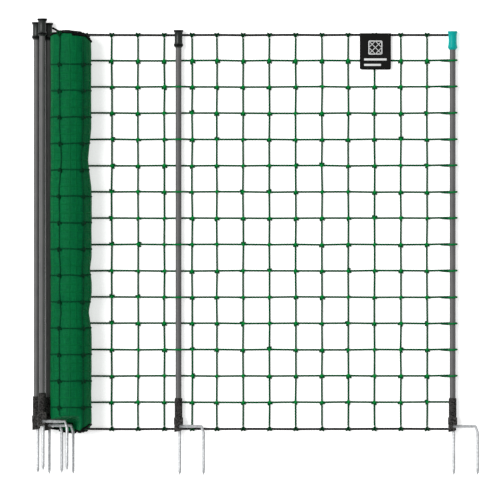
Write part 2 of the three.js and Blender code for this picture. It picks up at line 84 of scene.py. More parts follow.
class Wire:
    """A node's output that Python's operators work on.

    Args:
        shade: The material that it belongs to.
        socket: The output socket, or None for a node that has no output.
    """

    def __init__(self, shade: "Shade", socket: bpy.types.NodeSocket | None) -> None:
        """Keeps both."""
        self.shade = shade
        self.socket = socket

    def _maths(self, operation: str, first: "Wire | float", second: "Wire | float") -> "Wire":
        """Adds a Math node for one operator."""
        return self.shade.node("ShaderNodeMath", {"operation": operation}, {0: first, 1: second})

    def __add__(self, other: "Wire | float") -> "Wire":
        """self + other."""
        return self._maths("ADD", self, other)

    def __radd__(self, other: float) -> "Wire":
        """other + self."""
        return self._maths("ADD", other, self)

    def __sub__(self, other: "Wire | float") -> "Wire":
        """self - other."""
        return self._maths("SUBTRACT", self, other)

    def __rsub__(self, other: float) -> "Wire":
        """other - self."""
        return self._maths("SUBTRACT", other, self)

    def __mul__(self, other: "Wire | float") -> "Wire":
        """self * other."""
        return self._maths("MULTIPLY", self, other)

    def __rmul__(self, other: float) -> "Wire":
        """other * self."""
        return self._maths("MULTIPLY", other, self)

    def __truediv__(self, other: "Wire | float") -> "Wire":
        """self / other."""
        return self._maths("DIVIDE", self, other)

    def clamped(self) -> "Wire":
        """Keeps the value between 0 and 1."""
        return self.shade.node("ShaderNodeClamp", {}, {"Value": self})

    def larger(self, other: "Wire | float") -> "Wire":
        """The larger of two values."""
        return self._maths("MAXIMUM", self, other)


class Shade:
    """One material and its node tree.

    Args:
        name: The material's name.
    """

    def __init__(self, name: str) -> None:
        """Starts an empty node tree."""
        self.material = bpy.data.materials.new(name)
        self.material.use_nodes = True
        self.tree = self.material.node_tree
        self.tree.nodes.clear()

    def node(
        self,
        kind: str,
        settings: dict[str, object] | None = None,
        sockets: dict[int | str, object] | None = None,
        output: int = 0,
    ) -> Wire:
        """Adds a node.

        Args:
            kind: The node's type.
            settings: Its properties, set first.
            sockets: Values or wires for its inputs.
            output: Which output the wire leaves from.

        Returns:
            The wire.
        """
        node = self.tree.nodes.new(kind)
        for name, value in (settings or {}).items():
            setattr(node, name, value)
        for key, value in (sockets or {}).items():
            if isinstance(value, Wire):
                self.tree.links.new(value.socket, node.inputs[key])
            else:
                node.inputs[key].default_value = value
        return Wire(self, node.outputs[output] if node.outputs else None)

    def place(self, stretch: Sequence[float] = (1.0, 1.0, 1.0)) -> Wire:
        """The point on the object, stretched along its axes."""
        point = self.node("ShaderNodeTexCoord", output=3)
        return self.node("ShaderNodeMapping", {}, {"Vector": point, "Scale": stretch})

    def axis(self, vector: Wire, index: int) -> Wire:
        """One part of a vector: 0, 1 or 2."""
        return self.node("ShaderNodeSeparateXYZ", {}, {0: vector}, output=index)

    def speckle(self, place: Wire, scale: float, detail: float = 2.0) -> Wire:
        """A noise from 0 to 1."""
        return self.node("ShaderNodeTexNoise", {}, {"Vector": place, "Scale": scale, "Detail": detail})

    def mix(self, share: Wire, first: Colour | Wire, second: Colour | Wire) -> Wire:
        """Goes from the first colour to the second as share goes from 0 to 1."""
        return self.node("ShaderNodeMix", {"data_type": "RGBA"}, {0: share, 6: first, 7: second}, output=2)

    def bump(self, height: Wire, distance: float, strength: float = 1.0) -> Wire:
        """A bumped normal. distance is the relief in metres."""
        sockets = {"Height": height, "Distance": distance, "Strength": strength}
        return self.node("ShaderNodeBump", {}, sockets)

    def finished(self, **sockets: object) -> bpy.types.Material:
        """Ends the tree in a Principled shader.

        Args:
            **sockets: Its inputs, with spaces written as underscores.

        Returns:
            The material.
        """
        named = {name.replace("_", " "): value for name, value in sockets.items()}
        surface = self.node("ShaderNodeBsdfPrincipled", {}, named)
        self.node("ShaderNodeOutputMaterial", {}, {"Surface": surface})
        return self.material


class Grain(Enum):
    """Which way the fibres of a twine run, as a stretch of its pattern."""

    ALONG_X = (0.07, 1.0, 1.0)
    ALONG_Y = (1.0, 0.07, 1.0)
    ANY = (1.0, 1.0, 1.0)


@dataclass(frozen=True)
class TwineFinish:
    """Twisted plastic twine, with a painted highlight on its highest parts if asked for.

    Attributes:
        name: The material's name.
        hollow: Colour between the fibres.
        face: Colour of the fibres.
        grain: Which way the fibres run.
        painted_highlight: Painted highlight: a lighter colour on what stands highest, where the light falls,
            or None.
        painted_highlight_from: Height where the painted highlight begins.
        painted_highlight_to: Height where it is full.
        gloss: Specular level.
    """

    name: str
    hollow: Colour
    face: Colour
    grain: Grain = Grain.ANY
    painted_highlight: Colour | None = None
    painted_highlight_from: float = 0.004
    painted_highlight_to: float = 0.0075
    gloss: float = 0.05

    def material(self) -> bpy.types.Material:
        """Makes the material.

        Returns:
            The material.
        """
        shade = Shade(self.name)
        fibres = shade.speckle(shade.place(self.grain.value), 1500.0, 3.0)
        patches = shade.speckle(shade.place(), 24.0)
        tone = (fibres * 0.7 + patches * 0.9 - 0.3).clamped()
        colour = shade.mix(tone, self.hollow, self.face)
        # Painted highlight: the colour turns lighter with height, standing in for the light on the tops.
        if self.painted_highlight is not None:
            height = shade.axis(shade.place(), 2)
            raised = ((height - self.painted_highlight_from) / (self.painted_highlight_to - self.painted_highlight_from)).clamped()
            colour = shade.mix(raised, colour, self.painted_highlight)
        return shade.finished(
            Base_Color=colour,
            Roughness=fibres * 0.25 + 0.45,
            Specular_IOR_Level=self.gloss,
            Normal=shade.bump(fibres, 0.00035, 0.8),
        )


@dataclass(frozen=True)
class BulkFinish:
    """The close green mass of a wound net, patterned round the roll's axis.

    Attributes:
        name: The material's name.
        deep: Colour between the strands.
        lit: Colour of the strands.
        axis: X and Z of the roll's axis.
        radius: Radius at which the pattern has its real size.
    """

    name: str
    deep: Colour
    lit: Colour
    axis: tuple[float, float]
    radius: float

    def material(self) -> bpy.types.Material:
        """Makes the material.

        Returns:
            The material.
        """
        shade = Shade(self.name)
        point = shade.place()
        across = shade.axis(point, 0) - self.axis[0]
        up = shade.axis(point, 2) - self.axis[1]
        turn = shade.node("ShaderNodeMath", {"operation": "ARCTAN2"}, {0: across, 1: up}) * self.radius
        around = shade.node("ShaderNodeCombineXYZ", {}, {0: turn * 0.12, 1: shade.axis(point, 1)})
        along = shade.node("ShaderNodeCombineXYZ", {}, {0: turn, 1: shade.axis(point, 1) * 0.12})
        hoops = shade.speckle(around, 420.0, 2.0)
        strands = shade.speckle(along, 420.0, 2.0)
        weave = hoops.larger(strands)
        folds = shade.speckle(along, 26.0, 2.0)
        tone = (weave * 1.5 + folds * 0.6 - 0.72).clamped()
        return shade.finished(
            Base_Color=shade.mix(tone, self.deep, self.lit),
            Roughness=0.75 - weave * 0.25,
            Specular_IOR_Level=0.05,
            Normal=shade.bump(weave, 0.0012, 0.7),
        )


@dataclass(frozen=True)
class PlasticFinish:
    """Extruded or moulded plastic.

    Attributes:
        name: The material's name.
        dark: Colour of the low spots.
        light: Colour of the high spots.
        roughness: Mean roughness.
        gloss: Specular level.
        grain: Size of the grain, in metres.
        relief: Depth of the grain, in metres.
        mottle: How much the grain shows in the colour, 0 to 1.
        stretch: Stretch of the pattern along the axes.
    """

    name: str
    dark: Colour
    light: Colour
    roughness: float
    gloss: float
    grain: float
    relief: float
    mottle: float = 0.4
    stretch: tuple[float, float, float] = (1.0, 1.0, 1.0)

    def material(self) -> bpy.types.Material:
        """Makes the material.

        Returns:
            The material.
        """
        shade = Shade(self.name)
        place = shade.place(self.stretch)
        grain = shade.speckle(place, 1 / self.grain, 3.0)
        wear = shade.speckle(shade.place(), 30.0, 4.0)
        contrast = ((grain - 0.5) * 3.0 * self.mottle + wear).clamped()
        return shade.finished(
            Base_Color=shade.mix(contrast, self.dark, self.light),
            Roughness=(grain - 0.5) * 0.2 + (wear - 0.5) * 0.2 + self.roughness,
            Specular_IOR_Level=self.gloss,
            Normal=shade.bump(grain, self.relief, 0.6),
        )


@dataclass(frozen=True)
class SteelFinish:
    """Drawn and galvanised steel bar.

    Attributes:
        name: The material's name.
        dull: Colour of the dull patches.
        bright: Colour of the bright ones.
    """

    name: str
    dull: Colour
    bright: Colour

    def material(self) -> bpy.types.Material:
        """Makes the material.

        Returns:
            The material.
        """
        shade = Shade(self.name)
        drawn = shade.speckle(shade.place((1.0, 0.05, 1.0)), 1800.0, 2.0)
        spangle = shade.node(
            "ShaderNodeTexVoronoi", {"feature": "F1"}, {"Vector": shade.place(), "Scale": 260.0}, output=1
        )
        patches = shade.axis(spangle, 0) * 0.6 + shade.speckle(shade.place(), 60.0) * 0.4
        return shade.finished(
            Base_Color=shade.mix(patches, self.dull, self.bright),
            Metallic=0.4,
            Roughness=patches * 0.12 + drawn * 0.1 + 0.24,
            Normal=shade.bump(drawn, 0.0001, 0.4),
        )


@dataclass(frozen=True)
class FloorFinish:
    """The pale floor, lit a little from below.

    Attributes:
        name: The material's name.
        colour: Its colour.
        glow: Strength of the light from below.
    """

    name: str
    colour: Colour
    glow: float

    def material(self) -> bpy.types.Material:
        """Makes the material.

        Returns:
            The material.
        """
        return Shade(self.name).finished(
            Base_Color=self.colour,
            Roughness=0.9,
            Specular_IOR_Level=0.0,
            Emission_Color=self.colour,
            Emission_Strength=self.glow,
        )


class Finish(Enum):
    """Every finish of the netting and its posts."""

    # Rows turn a lighter green where they climb over the woven post's rod: painted highlight.
    ROW_TWINE = TwineFinish(
        "row_twine", srgb(0, 56, 28), srgb(0, 84, 44), Grain.ALONG_X, srgb(0, 112, 52), 0.014, 0.024
    )
    COLUMN_TWINE = TwineFinish("column_twine", srgb(0, 56, 28), srgb(0, 84, 44), Grain.ALONG_Y)
    # Knots: the darker green low down and the lighter green on top are painted shade and painted highlight.
    KNOT_TWINE = TwineFinish("knot_twine", srgb(0, 38, 18), srgb(0, 62, 28), painted_highlight=srgb(0, 134, 54))
    LINE_KNOT_TWINE = TwineFinish("line_knot_twine", srgb(0, 40, 19), srgb(0, 76, 36))
    ROLL_TWINE = TwineFinish("roll_twine", srgb(0, 52, 29), srgb(0, 82, 47))
    ROLL_KNOT_TWINE = TwineFinish("roll_knot_twine", srgb(0, 36, 20), srgb(0, 62, 34))
    ROLL_FILLING = TwineFinish("roll_filling", srgb(0, 84, 43), srgb(0, 104, 54))
    LINE = TwineFinish("edge_line", srgb(1, 1, 1), srgb(8, 8, 9), gloss=0.06)
    BULK = BulkFinish("roll_bulk", srgb(0, 72, 44), srgb(0, 117, 60), (-0.521, 0.0567), 0.0567)
    ROD = PlasticFinish(
        "rod_plastic", srgb(84, 84, 85), srgb(104, 103, 102), 0.4, 0.2, 0.0006, 0.00005, 0.25,
        (1.0, 0.04, 1.0),
    )
    CAP = PlasticFinish("cap_plastic", srgb(22, 26, 24), srgb(44, 49, 46), 0.34, 0.3, 0.0009, 0.00006)
    # Darker plastic on the caps' flange and collar: painted shade for where they turn away from the light.
    CAP_RIM = PlasticFinish("cap_rim_painted_shade", srgb(4, 5, 5), srgb(13, 15, 14), 0.5, 0.1, 0.0009, 0.00006)
    END_CAP = PlasticFinish(
        "end_cap_plastic", srgb(0, 150, 144), srgb(4, 170, 163), 0.36, 0.12, 0.0009, 0.00006
    )
    FOOT = PlasticFinish("foot_plastic", srgb(8, 8, 8), srgb(70, 68, 66), 0.6, 0.12, 0.0042, 0.0004, 1.5)
    STEEL = SteelFinish("galvanised_steel", srgb(150, 152, 154), srgb(212, 214, 216))
    TAG = PlasticFinish("tag_plastic", srgb(18, 18, 18), srgb(28, 28, 27), 0.5, 0.04, 0.0006, 0.00004)
    TAG_RIM = PlasticFinish("tag_rim", srgb(2, 2, 2), srgb(6, 6, 6), 0.5, 0.03, 0.0006, 0.00004)
    PRINT = PlasticFinish("tag_print", srgb(204, 206, 205), srgb(228, 229, 228), 0.55, 0.1, 0.0005, 0.00003)
    FLOOR = FloorFinish("floor", srgb(250, 250, 250), 0.5)

    def material(self) -> bpy.types.Material:
        """The material, made the first time it is asked for."""
        return bpy.data.materials.get(self.value.name) or self.value.material()


def rounded(
    bm: bmesh.types.BMesh, edges: Sequence[bmesh.types.BMEdge], offset: float, segments: int
) -> None:
    """Bevels edges round.

    Args:
        bm: The shape.
        edges: Its edges to round.
        offset: Width of the rounding.
        segments: Faces across it.
    """
    bmesh.ops.bevel(
        bm,
        geom=edges,
        offset=offset,
        segments=segments,
        profile=0.5,
        affect="EDGES",
        material=-1,
        clamp_overlap=True,
    )


def soften(bm: bmesh.types.BMesh, angle: float, offset: float, segments: int = 2) -> None:
    """Rounds the edges that are sharper than an angle.

    Args:
        bm: The shape.
        angle: In degrees.
        offset: Width of the rounding.
        segments: Faces across it.
    """
    least = math.radians(angle)
    sharp = [e for e in bm.edges if len(e.link_faces) == 2 and e.calc_face_angle(0.0) > least]
    rounded(bm, sharp, offset, segments)


def turned(profile: Sequence[tuple[float, float]], sides: int) -> bmesh.types.BMesh:
    """Turns a profile round the Y axis.

    Args:
        profile: Radius and height of each point, from the axis back to the axis or closed on itself.
        sides: Steps round the axis.

    Returns:
        The closed shape.
    """
    bm = bmesh.new()
    verts = [bm.verts.new((radius, height, 0.0)) for radius, height in profile]
    edges = [bm.edges.new(pair) for pair in zip(verts, verts[1:])]
    bmesh.ops.spin(
        bm, geom=verts + edges, cent=(0, 0, 0), axis=(0, 1, 0), angle=math.tau, steps=sides, use_merge=True
    )
    bmesh.ops.remove_doubles(bm, verts=bm.verts, dist=MERGE)
    bmesh.ops.recalc_face_normals(bm, faces=bm.faces)
    return bm


def block(low: Sequence[float], high: Sequence[float], rounding: float = 0.0) -> bmesh.types.BMesh:
    """A box between two corners, with rounded edges if asked for.

    Args:
        low: The lower corner.
        high: The upper one.
        rounding: Width of the rounding, or 0 for none.

    Returns:
        The box.
    """
    bm = bmesh.new()
    low, high = Vector(low), Vector(high)
    size = Matrix.Diagonal((high - low).to_4d())
    bmesh.ops.create_cube(bm, size=1.0, matrix=Matrix.Translation((low + high) / 2) @ size)
    if rounding:
        soften(bm, 30.0, rounding)
    return bm


def bar(start: Sequence[float], end: Sequence[float], radius: float, sides: int = 16) -> bmesh.types.BMesh:
    """A round bar between two points.

    Args:
        start: One end.
        end: The other end.
        radius: Its radius.
        sides: Faces round it.

    Returns:
        The bar.
    """
    bm = bmesh.new()
    start, end = Vector(start), Vector(end)
    run = end - start
    place = Matrix.Translation((start + end) / 2) @ run.to_track_quat("Z", "Y").to_matrix().to_4x4()
    bmesh.ops.create_cone(
        bm, cap_ends=True, segments=sides, radius1=radius, radius2=radius, depth=run.length, matrix=place
    )
    return bm


def as_object(name: str, bm: bmesh.types.BMesh) -> bpy.types.Object:
    """Makes an object of a shape and frees the shape.

    Args:
        name: The object's name.
        bm: The shape.

    Returns:
        The object.
    """
    mesh = bpy.data.meshes.new(name)
    bm.to_mesh(mesh)
    bm.free()
    thing = bpy.data.objects.new(name, mesh)
    bpy.context.scene.collection.objects.link(thing)
    return thing


def evaluated(thing: bpy.types.Object) -> bmesh.types.BMesh:
    """The shape of an object with its modifiers applied. The object itself is removed.

    Args:
        thing: The object.

    Returns:
        The shape.
    """
    mesh = bpy.data.meshes.new_from_object(thing.evaluated_get(bpy.context.evaluated_depsgraph_get()))
    bm = bmesh.new()
    bm.from_mesh(mesh)
    bpy.data.meshes.remove(mesh)
    bpy.data.objects.remove(thing)
    return bm


def combined(
    body: bmesh.types.BMesh, added: Iterable[bmesh.types.BMesh] = (), cut: Iterable[bmesh.types.BMesh] = ()
) -> bmesh.types.BMesh:
    """Joins solids to a body and cuts others out of it.

    Args:
        body: The first solid.
        added: Solids that are joined to it.
        cut: Solids that are then cut out.

    Returns:
        The new solid.
    """
    thing = as_object("body", body)
    helpers = []
    for operation, solids in (("UNION", added), ("DIFFERENCE", cut)):
        for solid in solids:
            helper = as_object("helper", solid)
            helper.hide_render = True
            modifier = thing.modifiers.new("solid", "BOOLEAN")
            modifier.operation = operation
            modifier.solver = "EXACT"
            modifier.object = helper
            helpers.append(helper)
    bm = evaluated(thing)
    for helper in helpers:
        bpy.data.objects.remove(helper)
    bmesh.ops.dissolve_degenerate(bm, edges=bm.edges, dist=MERGE)
    return bm


def merged(shapes: Iterable[bmesh.types.BMesh]) -> bmesh.types.BMesh:
    """Puts several shapes into one and frees them.

    Args:
        shapes: The shapes.

    Returns:
        The whole.
    """
    whole = bmesh.new()
    for shape in shapes:
        mesh = bpy.data.meshes.new("part")
        shape.to_mesh(mesh)
        shape.free()
        whole.from_mesh(mesh)
        bpy.data.meshes.remove(mesh)
    return whole


def copies(shape: bmesh.types.BMesh, places: Iterable[Matrix]) -> bmesh.types.BMesh:
    """One mesh with the shape at each place. The shape is freed.

    Args:
        shape: The shape.
        places: Where it goes.

    Returns:
        The whole.
    """
    mesh = bpy.data.meshes.new("copy")
    shape.to_mesh(mesh)
    shape.free()
    whole = bmesh.new()
    for place in places:
        before = len(whole.verts)
        whole.from_mesh(mesh)
        whole.verts.ensure_lookup_table()
        bmesh.ops.transform(whole, matrix=place, verts=whole.verts[before:])
    bpy.data.meshes.remove(mesh)
    return whole


def above_floor(bm: bmesh.types.BMesh) -> bmesh.types.BMesh:
    """Presses what would reach below the floor flat on it.

    Args:
        bm: The shape.

    Returns:
        The same shape.
    """
    for vert in bm.verts:
        vert.co.z = max(vert.co.z, TOUCH)
    return bm


def shown(
    name: str,
    bm: bmesh.types.BMesh,
    finish: Finish,
    nodes: Sequence[str],
    crease: float = 35.0,
    painted_shade_finish: Finish | None = None,
) -> bpy.types.Object:
    """Makes a piece of the object.

    Args:
        name: The piece's name.
        bm: Its shape in the frame, which is freed.
        finish: Its finish.
        nodes: The nodes that it stands for.
        crease: Angle in degrees past which an edge stays sharp.
        painted_shade_finish: Finish of the faces that are marked with material index 1, which paints shade
            on them.

    Returns:
        The piece.
    """
    faces = len(bm.faces)
    piece = as_object(name, bm)
    piece.data.materials.append(finish.material())
    if painted_shade_finish is not None:
        piece.data.materials.append(painted_shade_finish.material())
    piece.data.shade_smooth()
    piece.data.set_sharp_from_angle(angle=math.radians(crease))
    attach(piece, BODY)
    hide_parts(*nodes)
    log.info("%s: %d faces", name, faces)
    return piece


def middle(node: str) -> Vector:
    """Centre of a node's box."""
    low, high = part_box(node)
    return (Vector(low) + Vector(high)) / 2


def smooth(points: Sequence[Vector], closed: bool = False, steps: int = 6) -> list[Vector]:
    """A smooth route through points.

    Args:
        points: The points.
        closed: Whether the last one leads back to the first.
        steps: Pieces between two points.

    Returns:
        The route's points.
    """
    count = len(points)
    route: list[Vector] = []
    for i in range(count if closed else count - 1):
        before = points[(i - 1) % count] if closed else points[max(i - 1, 0)]
        start, end = points[i], points[(i + 1) % count]
        after = points[(i + 2) % count] if closed else points[min(i + 2, count - 1)]
        first, second = start + (end - before) / 6, end - (after - start) / 6
        route += interpolate_bezier(start, first, second, end, steps + 1)[:-1]
    if not closed:
        route.append(points[-1].copy())
    return route


def full_size(points: Iterable[Vector]) -> list[RoutePoint]:
    """A route whose strand keeps its thickness."""
    return [(point, 1.0) for point in points]


@dataclass(frozen=True)
class Strand:
    """A twisted strand, drawn along routes by a curve with a lobed section.

    Attributes:
        reach: Largest radius.
        plies: Plies round the section.
        groove: Depth of the grooves between them, as a share of the radius.
        lay: Length in which the plies turn once, or 0 for none.
        step: Distance between two sections.
        sides: Points round the section.
    """

    reach: float
    plies: int = 3
    groove: float = 0.17
    lay: float = 0.024
    step: float = 0.003
    sides: int = 12

    def _section(self) -> bpy.types.Object:
        """The curve that gives the section.

        Returns:
            The curve's object.
        """
        data = bpy.data.curves.new("section", "CURVE")
        data.dimensions = "2D"
        spline = data.splines.new("POLY")
        spline.points.add(self.sides - 1)
        spline.use_cyclic_u = True
        for i, point in enumerate(spline.points):
            angle = math.tau * i / self.sides
            radius = self.reach * (1 - self.groove / 2 + self.groove / 2 * math.cos(self.plies * angle))
            point.co = (radius * math.cos(angle), radius * math.sin(angle), 0.0, 1.0)
        section = bpy.data.objects.new("section", data)
        bpy.context.scene.collection.objects.link(section)
        return section

    def _stations(self, route: Sequence[RoutePoint]) -> list[RoutePoint]:
        """Points at even steps along a route, its corners among them.

        Args:
            route: The route.

        Returns:
            The points.
        """
        stations = [route[0]]
        for (start, thin), (end, thick) in zip(route, route[1:]):
            pieces = max(1, round((end - start).length / self.step))
            if (end - start).length < self.step / 2 and end is not route[-1][0]:
                continue
            for i in range(1, pieces + 1):
                stations.append((start.lerp(end, i / pieces), thin + (thick - thin) * i / pieces))
        return stations

    def along(self, routes: Sequence[Sequence[RoutePoint]], closed: bool = False) -> bmesh.types.BMesh:
        """Draws the strand along routes.

        Args:
            routes: Each route's points, with the strand's thickness there as a share.
            closed: Whether each route leads back to its start.

        Returns:
            The strands as one shape.
        """
        data = bpy.data.curves.new("strand", "CURVE")
        data.dimensions = "3D"
        data.twist_mode = "MINIMUM"
        data.bevel_mode = "OBJECT"
        data.bevel_object = self._section()
        data.use_fill_caps = not closed
        for route in routes:
            stations = list(route) if closed else self._stations(route)
            spline = data.splines.new("POLY")
            spline.points.add(len(stations) - 1)
            spline.use_cyclic_u = closed
            travelled = 0.0
            for i, (point, share) in enumerate(stations):
                travelled += (point - stations[i - 1][0]).length if i else 0.0
                spline.points[i].co = (*point, 1.0)
                spline.points[i].radius = share
                spline.points[i].tilt = math.tau * travelled / self.lay if self.lay else 0.0
        thing = bpy.data.objects.new("strand", data)
        bpy.context.scene.collection.objects.link(thing)
        bm = evaluated(thing)
        bpy.data.objects.remove(data.bevel_object)
        bmesh.ops.recalc_face_normals(bm, faces=bm.faces)
        return bm


@dataclass
class Knots:
    """The small knots of the net, as shapes at the origin.

    Attributes:
        twine: Radius of the twine that they are tied in.
        crossing: Points of the bow that holds two crossing twines, with its ears towards -Y.
        on_line: Points of the twine that ties a column to an edge line, which lies past it towards +Y.
    """

    twine: float = 0.0021
    crossing: tuple[tuple[float, float, float], ...] = (
        (-0.0056, -0.0068, 0.0022),
        (-0.0050, -0.0022, 0.0030),
        (-0.0020, 0.0028, 0.0052),
        (0.0020, 0.0028, 0.0056),
        (0.0050, -0.0022, 0.0030),
        (0.0056, -0.0068, 0.0022),
        (0.0013, -0.0026, 0.0044),
        (-0.0013, -0.0026, 0.0046),
    )
    on_line: tuple[tuple[float, float, float], ...] = (
        (0.0000, -0.0110, 0.0027),
        (-0.0008, -0.0068, 0.0044),
        (-0.0026, -0.0022, 0.0082),
        (-0.0044, 0.0026, 0.0080),
        (-0.0052, 0.0060, 0.0044),
        (-0.0034, 0.0052, 0.0014),
        (0.0000, 0.0000, 0.0006),
        (0.0026, -0.0048, 0.0016),
        (0.0008, -0.0062, 0.0050),
        (0.0026, -0.0022, 0.0084),
        (0.0044, 0.0026, 0.0080),
        (0.0052, 0.0060, 0.0044),
        (0.0034, 0.0052, 0.0014),
        (-0.0006, 0.0000, 0.0006),
        (-0.0034, -0.0054, 0.0022),
    )

    def crossing_shape(self, spacing: int = 2) -> bmesh.types.BMesh:
        """The bow and the lump of twine that it holds.

        Args:
            spacing: Pieces between two points of the bow.

        Returns:
            The shape.
        """
        strand = Strand(self.twine, plies=1, groove=0.0, lay=0.0, sides=6)
        route = smooth([Vector(p) for p in self.crossing], closed=True, steps=spacing)
        bow = strand.along([full_size(route)], closed=True)
        lump = bmesh.new()
        squash = Matrix.Translation((0, -0.0002, 0.0042)) @ Matrix.Diagonal((0.86, 0.92, 0.8, 1.0))
        bmesh.ops.create_uvsphere(lump, u_segments=8, v_segments=5, radius=0.0046, matrix=squash)
        return merged([bow, lump])

    def line_shape(self) -> bmesh.types.BMesh:
        """The twine tied round an edge line."""
        strand = Strand(self.twine, plies=3, groove=0.14, lay=0.02, step=0.0018, sides=9)
        return strand.along([full_size(smooth([Vector(p) for p in self.on_line]))])


@dataclass
class NetPanel:
    """The flat panel of the net: rows and columns of twine, knotted at each crossing.

    Attributes:
        rows: Rows between the head line and the foot line.
        columns: Columns between the end post and the roll.
        mesh: Spacing of the twines.
        head_mesh: Depth of the first row of meshes.
        end_mesh: Width of the meshes beside the end post.
        post_spread: How far the woven post pushes its right column aside.
        rod_radius: Radius of the posts' rods.
        lean: Angle in degrees at which a row leaves the floor to climb over the woven post.
        stray: How far a knot lies from its place.
        seed: Seed of the strays.
        twine: The panel's twine.
        rope: The edge lines' rope.
        lie: Height of the twine's middle over the floor.
        column_gap: Distance of a column's ends from the lines' middles.
    """

    rows: int = 14
    columns: int = 14
    mesh: float = 0.075
    head_mesh: float = 0.073
    end_mesh: float = 0.0727
    post_spread: float = 0.0044
    rod_radius: float = 0.0085
    lean: float = 40.0
    stray: float = 0.0008
    seed: int = 11
    twine: Strand = Strand(reach=0.0031)
    rope: Strand = Strand(reach=0.0034, plies=4, groove=0.12, lay=0.03, sides=16)
    lie: float = 0.0030
    column_gap: float = 0.0095

    def __post_init__(self) -> None:
        """Reads the net's places from the frame and sets the knots in their places."""
        self.end = middle("end_post_rod")
        self.woven = middle("woven_post_rod")
        self.head = middle("head_line").y
        self.foot = middle("foot_line").y
        self.roll_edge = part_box("net_mesh")[0][0] + TOUCH
        dice = random.Random(self.seed)
        self.knots = [
            [self._crossing(row, column, dice) for column in range(self.columns)] for row in range(self.rows)
        ]

    def _crossing(self, row: int, column: int, dice: random.Random) -> Vector:
        """Where one row and one column cross.

        Args:
            row: The row.
            column: The column.
            dice: Source of the strays.

        Returns:
            The point.
        """
        x = self.column_x(column) + dice.uniform(-self.stray, self.stray)
        y = self.row_y(row) + dice.uniform(-self.stray, self.stray)
        return Vector((x, y, self.lie))

    def column_x(self, column: int) -> float:
        """Place of a column, counted from the end post.

        Args:
            column: The column.

        Returns:
            Its X.
        """
        x = self.end.x - self.end_mesh - column * self.mesh
        beside_post = x > self.woven.x > x - self.mesh
        return x + self.post_spread if beside_post else x

    def row_y(self, row: int) -> float:
        """Place of a row, counted from the head line."""
        return self.head - self.head_mesh - row * self.mesh

    def _arc(self, centre: Vector, y: float, start: float, end: float, steps: int) -> list[Vector]:
        """Points round a rod, at the distance at which the twine's middle passes it.

        Args:
            centre: A point on the rod's axis.
            y: Place along the rod.
            start: First angle in degrees, from +X towards +Z.
            end: Last angle.
            steps: Pieces.

        Returns:
            The points.
        """
        radius = self.rod_radius + TOUCH + self.twine.reach
        angles = [math.radians(start + (end - start) * i / steps) for i in range(steps + 1)]
        return [centre + Vector((radius * math.cos(a), y - centre.y, radius * math.sin(a))) for a in angles]

    def _over_woven_post(self, y: float) -> list[Vector]:
        """A row's way over the woven post's rod.

        Args:
            y: Place along the rod.

        Returns:
            The points.
        """
        top = self._arc(self.woven, y, 90 + self.lean, 90 - self.lean, 8)
        run = (top[0].z - self.lie) / math.tan(math.radians(self.lean))
        return [
            Vector((top[0].x - run, y, self.lie)),
            *top,
            Vector((top[-1].x + run, y, self.lie)),
        ]

    def _under_sleeve(self, x: float, y: float) -> list[RoutePoint]:
        """The lowest row's way under a post's sleeve, pressed thin."""
        return [
            (Vector((x - 0.011, y, self.lie)), 1.0),
            (Vector((x - 0.006, y, 0.0013)), 0.46),
            (Vector((x + 0.006, y, 0.0013)), 0.46),
            (Vector((x + 0.011, y, self.lie)), 1.0),
        ]

    def _round_end_post(self, y: float) -> list[RoutePoint]:
        """A row's loop round the end post's rod, and its tail beside the row.

        Args:
            y: Place along the rod.

        Returns:
            The route.
        """
        loop = self._arc(self.end, y, -100.0, 222.0, 28)
        for i, point in enumerate(loop):
            point.y += 0.0016 - 0.0030 * i / (len(loop) - 1)
        tail = [
            (Vector((self.end.x - 0.0175, y - 0.0016, self.lie + 0.0022)), 0.9),
            (Vector((self.end.x - 0.0300, y - 0.0012, self.lie + 0.0014)), 0.75),
            (Vector((self.end.x - 0.0400, y, self.lie)), 0.5),
        ]
        return [*full_size(loop), *tail]

    def row_route(self, row: int) -> list[RoutePoint]:
        """The whole way of one row from under the roll to the end post.

        Args:
            row: The row.

        Returns:
            The route.
        """
        lowest = row == self.rows - 1
        crossings = self.knots[row][::-1]
        route = full_size([Vector((self.roll_edge, crossings[0].y, self.lie))])
        for knot, following in zip(crossings, [*crossings[1:], None]):
            route.append((knot, 1.0))
            if following is None or not knot.x < self.woven.x < following.x:
                continue
            y = (knot.y + following.y) / 2
            if lowest:
                route += self._under_sleeve(self.woven.x, y)
            elif row % 2 == 1:
                route += full_size(self._over_woven_post(y))
        last = crossings[-1].y
        if lowest:
            return route + self._under_sleeve(self.end.x, last)[:3]
        return route + self._round_end_post(last)

    def column_route(self, column: int) -> list[RoutePoint]:
        """The whole way of one column from line to line.

        Args:
            column: The column.

        Returns:
            The route.
        """
        x = self.column_x(column)
        start = Vector((x, self.head - self.column_gap, self.lie))
        end = Vector((x, self.foot + self.column_gap, self.lie))
        return full_size([start, *(self.knots[row][column] for row in range(self.rows)), end])

    def _crossing_places(self) -> list[Matrix]:
        """Where each crossing's knot goes, turned and sized a little by chance.

        Returns:
            The places.
        """
        dice = random.Random(self.seed + 1)
        places = []
        for row, knots in enumerate(self.knots):
            for knot in knots:
                turn = dice.choices((0.0, 35.0, -35.0, 90.0, 180.0, -80.0), (10, 4, 3, 1, 1, 1))[0]
                turn = 0.0 if row == 0 else turn
                longer = 1.25 if row == 0 else dice.uniform(0.9, 1.1)
                place = Matrix.Translation((knot.x, knot.y, 0.0))
                spin = Matrix.Rotation(math.radians(turn + dice.uniform(-14, 14)), 4, "Z")
                size = dice.uniform(0.92, 1.06)
                places.append(place @ spin @ Matrix.Diagonal((size, size * longer, 1.0, 1.0)))
        return places

    def _line_places(self) -> list[Matrix]:
        """Where each edge line's knots go, the foot line's turned round.

        Returns:
            The places.
        """
        dice = random.Random(self.seed + 2)
        places = []
        for y, turn in ((self.head, 0.0), (self.foot, 180.0)):
            for column in range(self.columns):
                spin = Matrix.Rotation(math.radians(turn + dice.uniform(-6, 6)), 4, "Z")
                places.append(Matrix.Translation((self.column_x(column), y, 0.0)) @ spin)
        return places

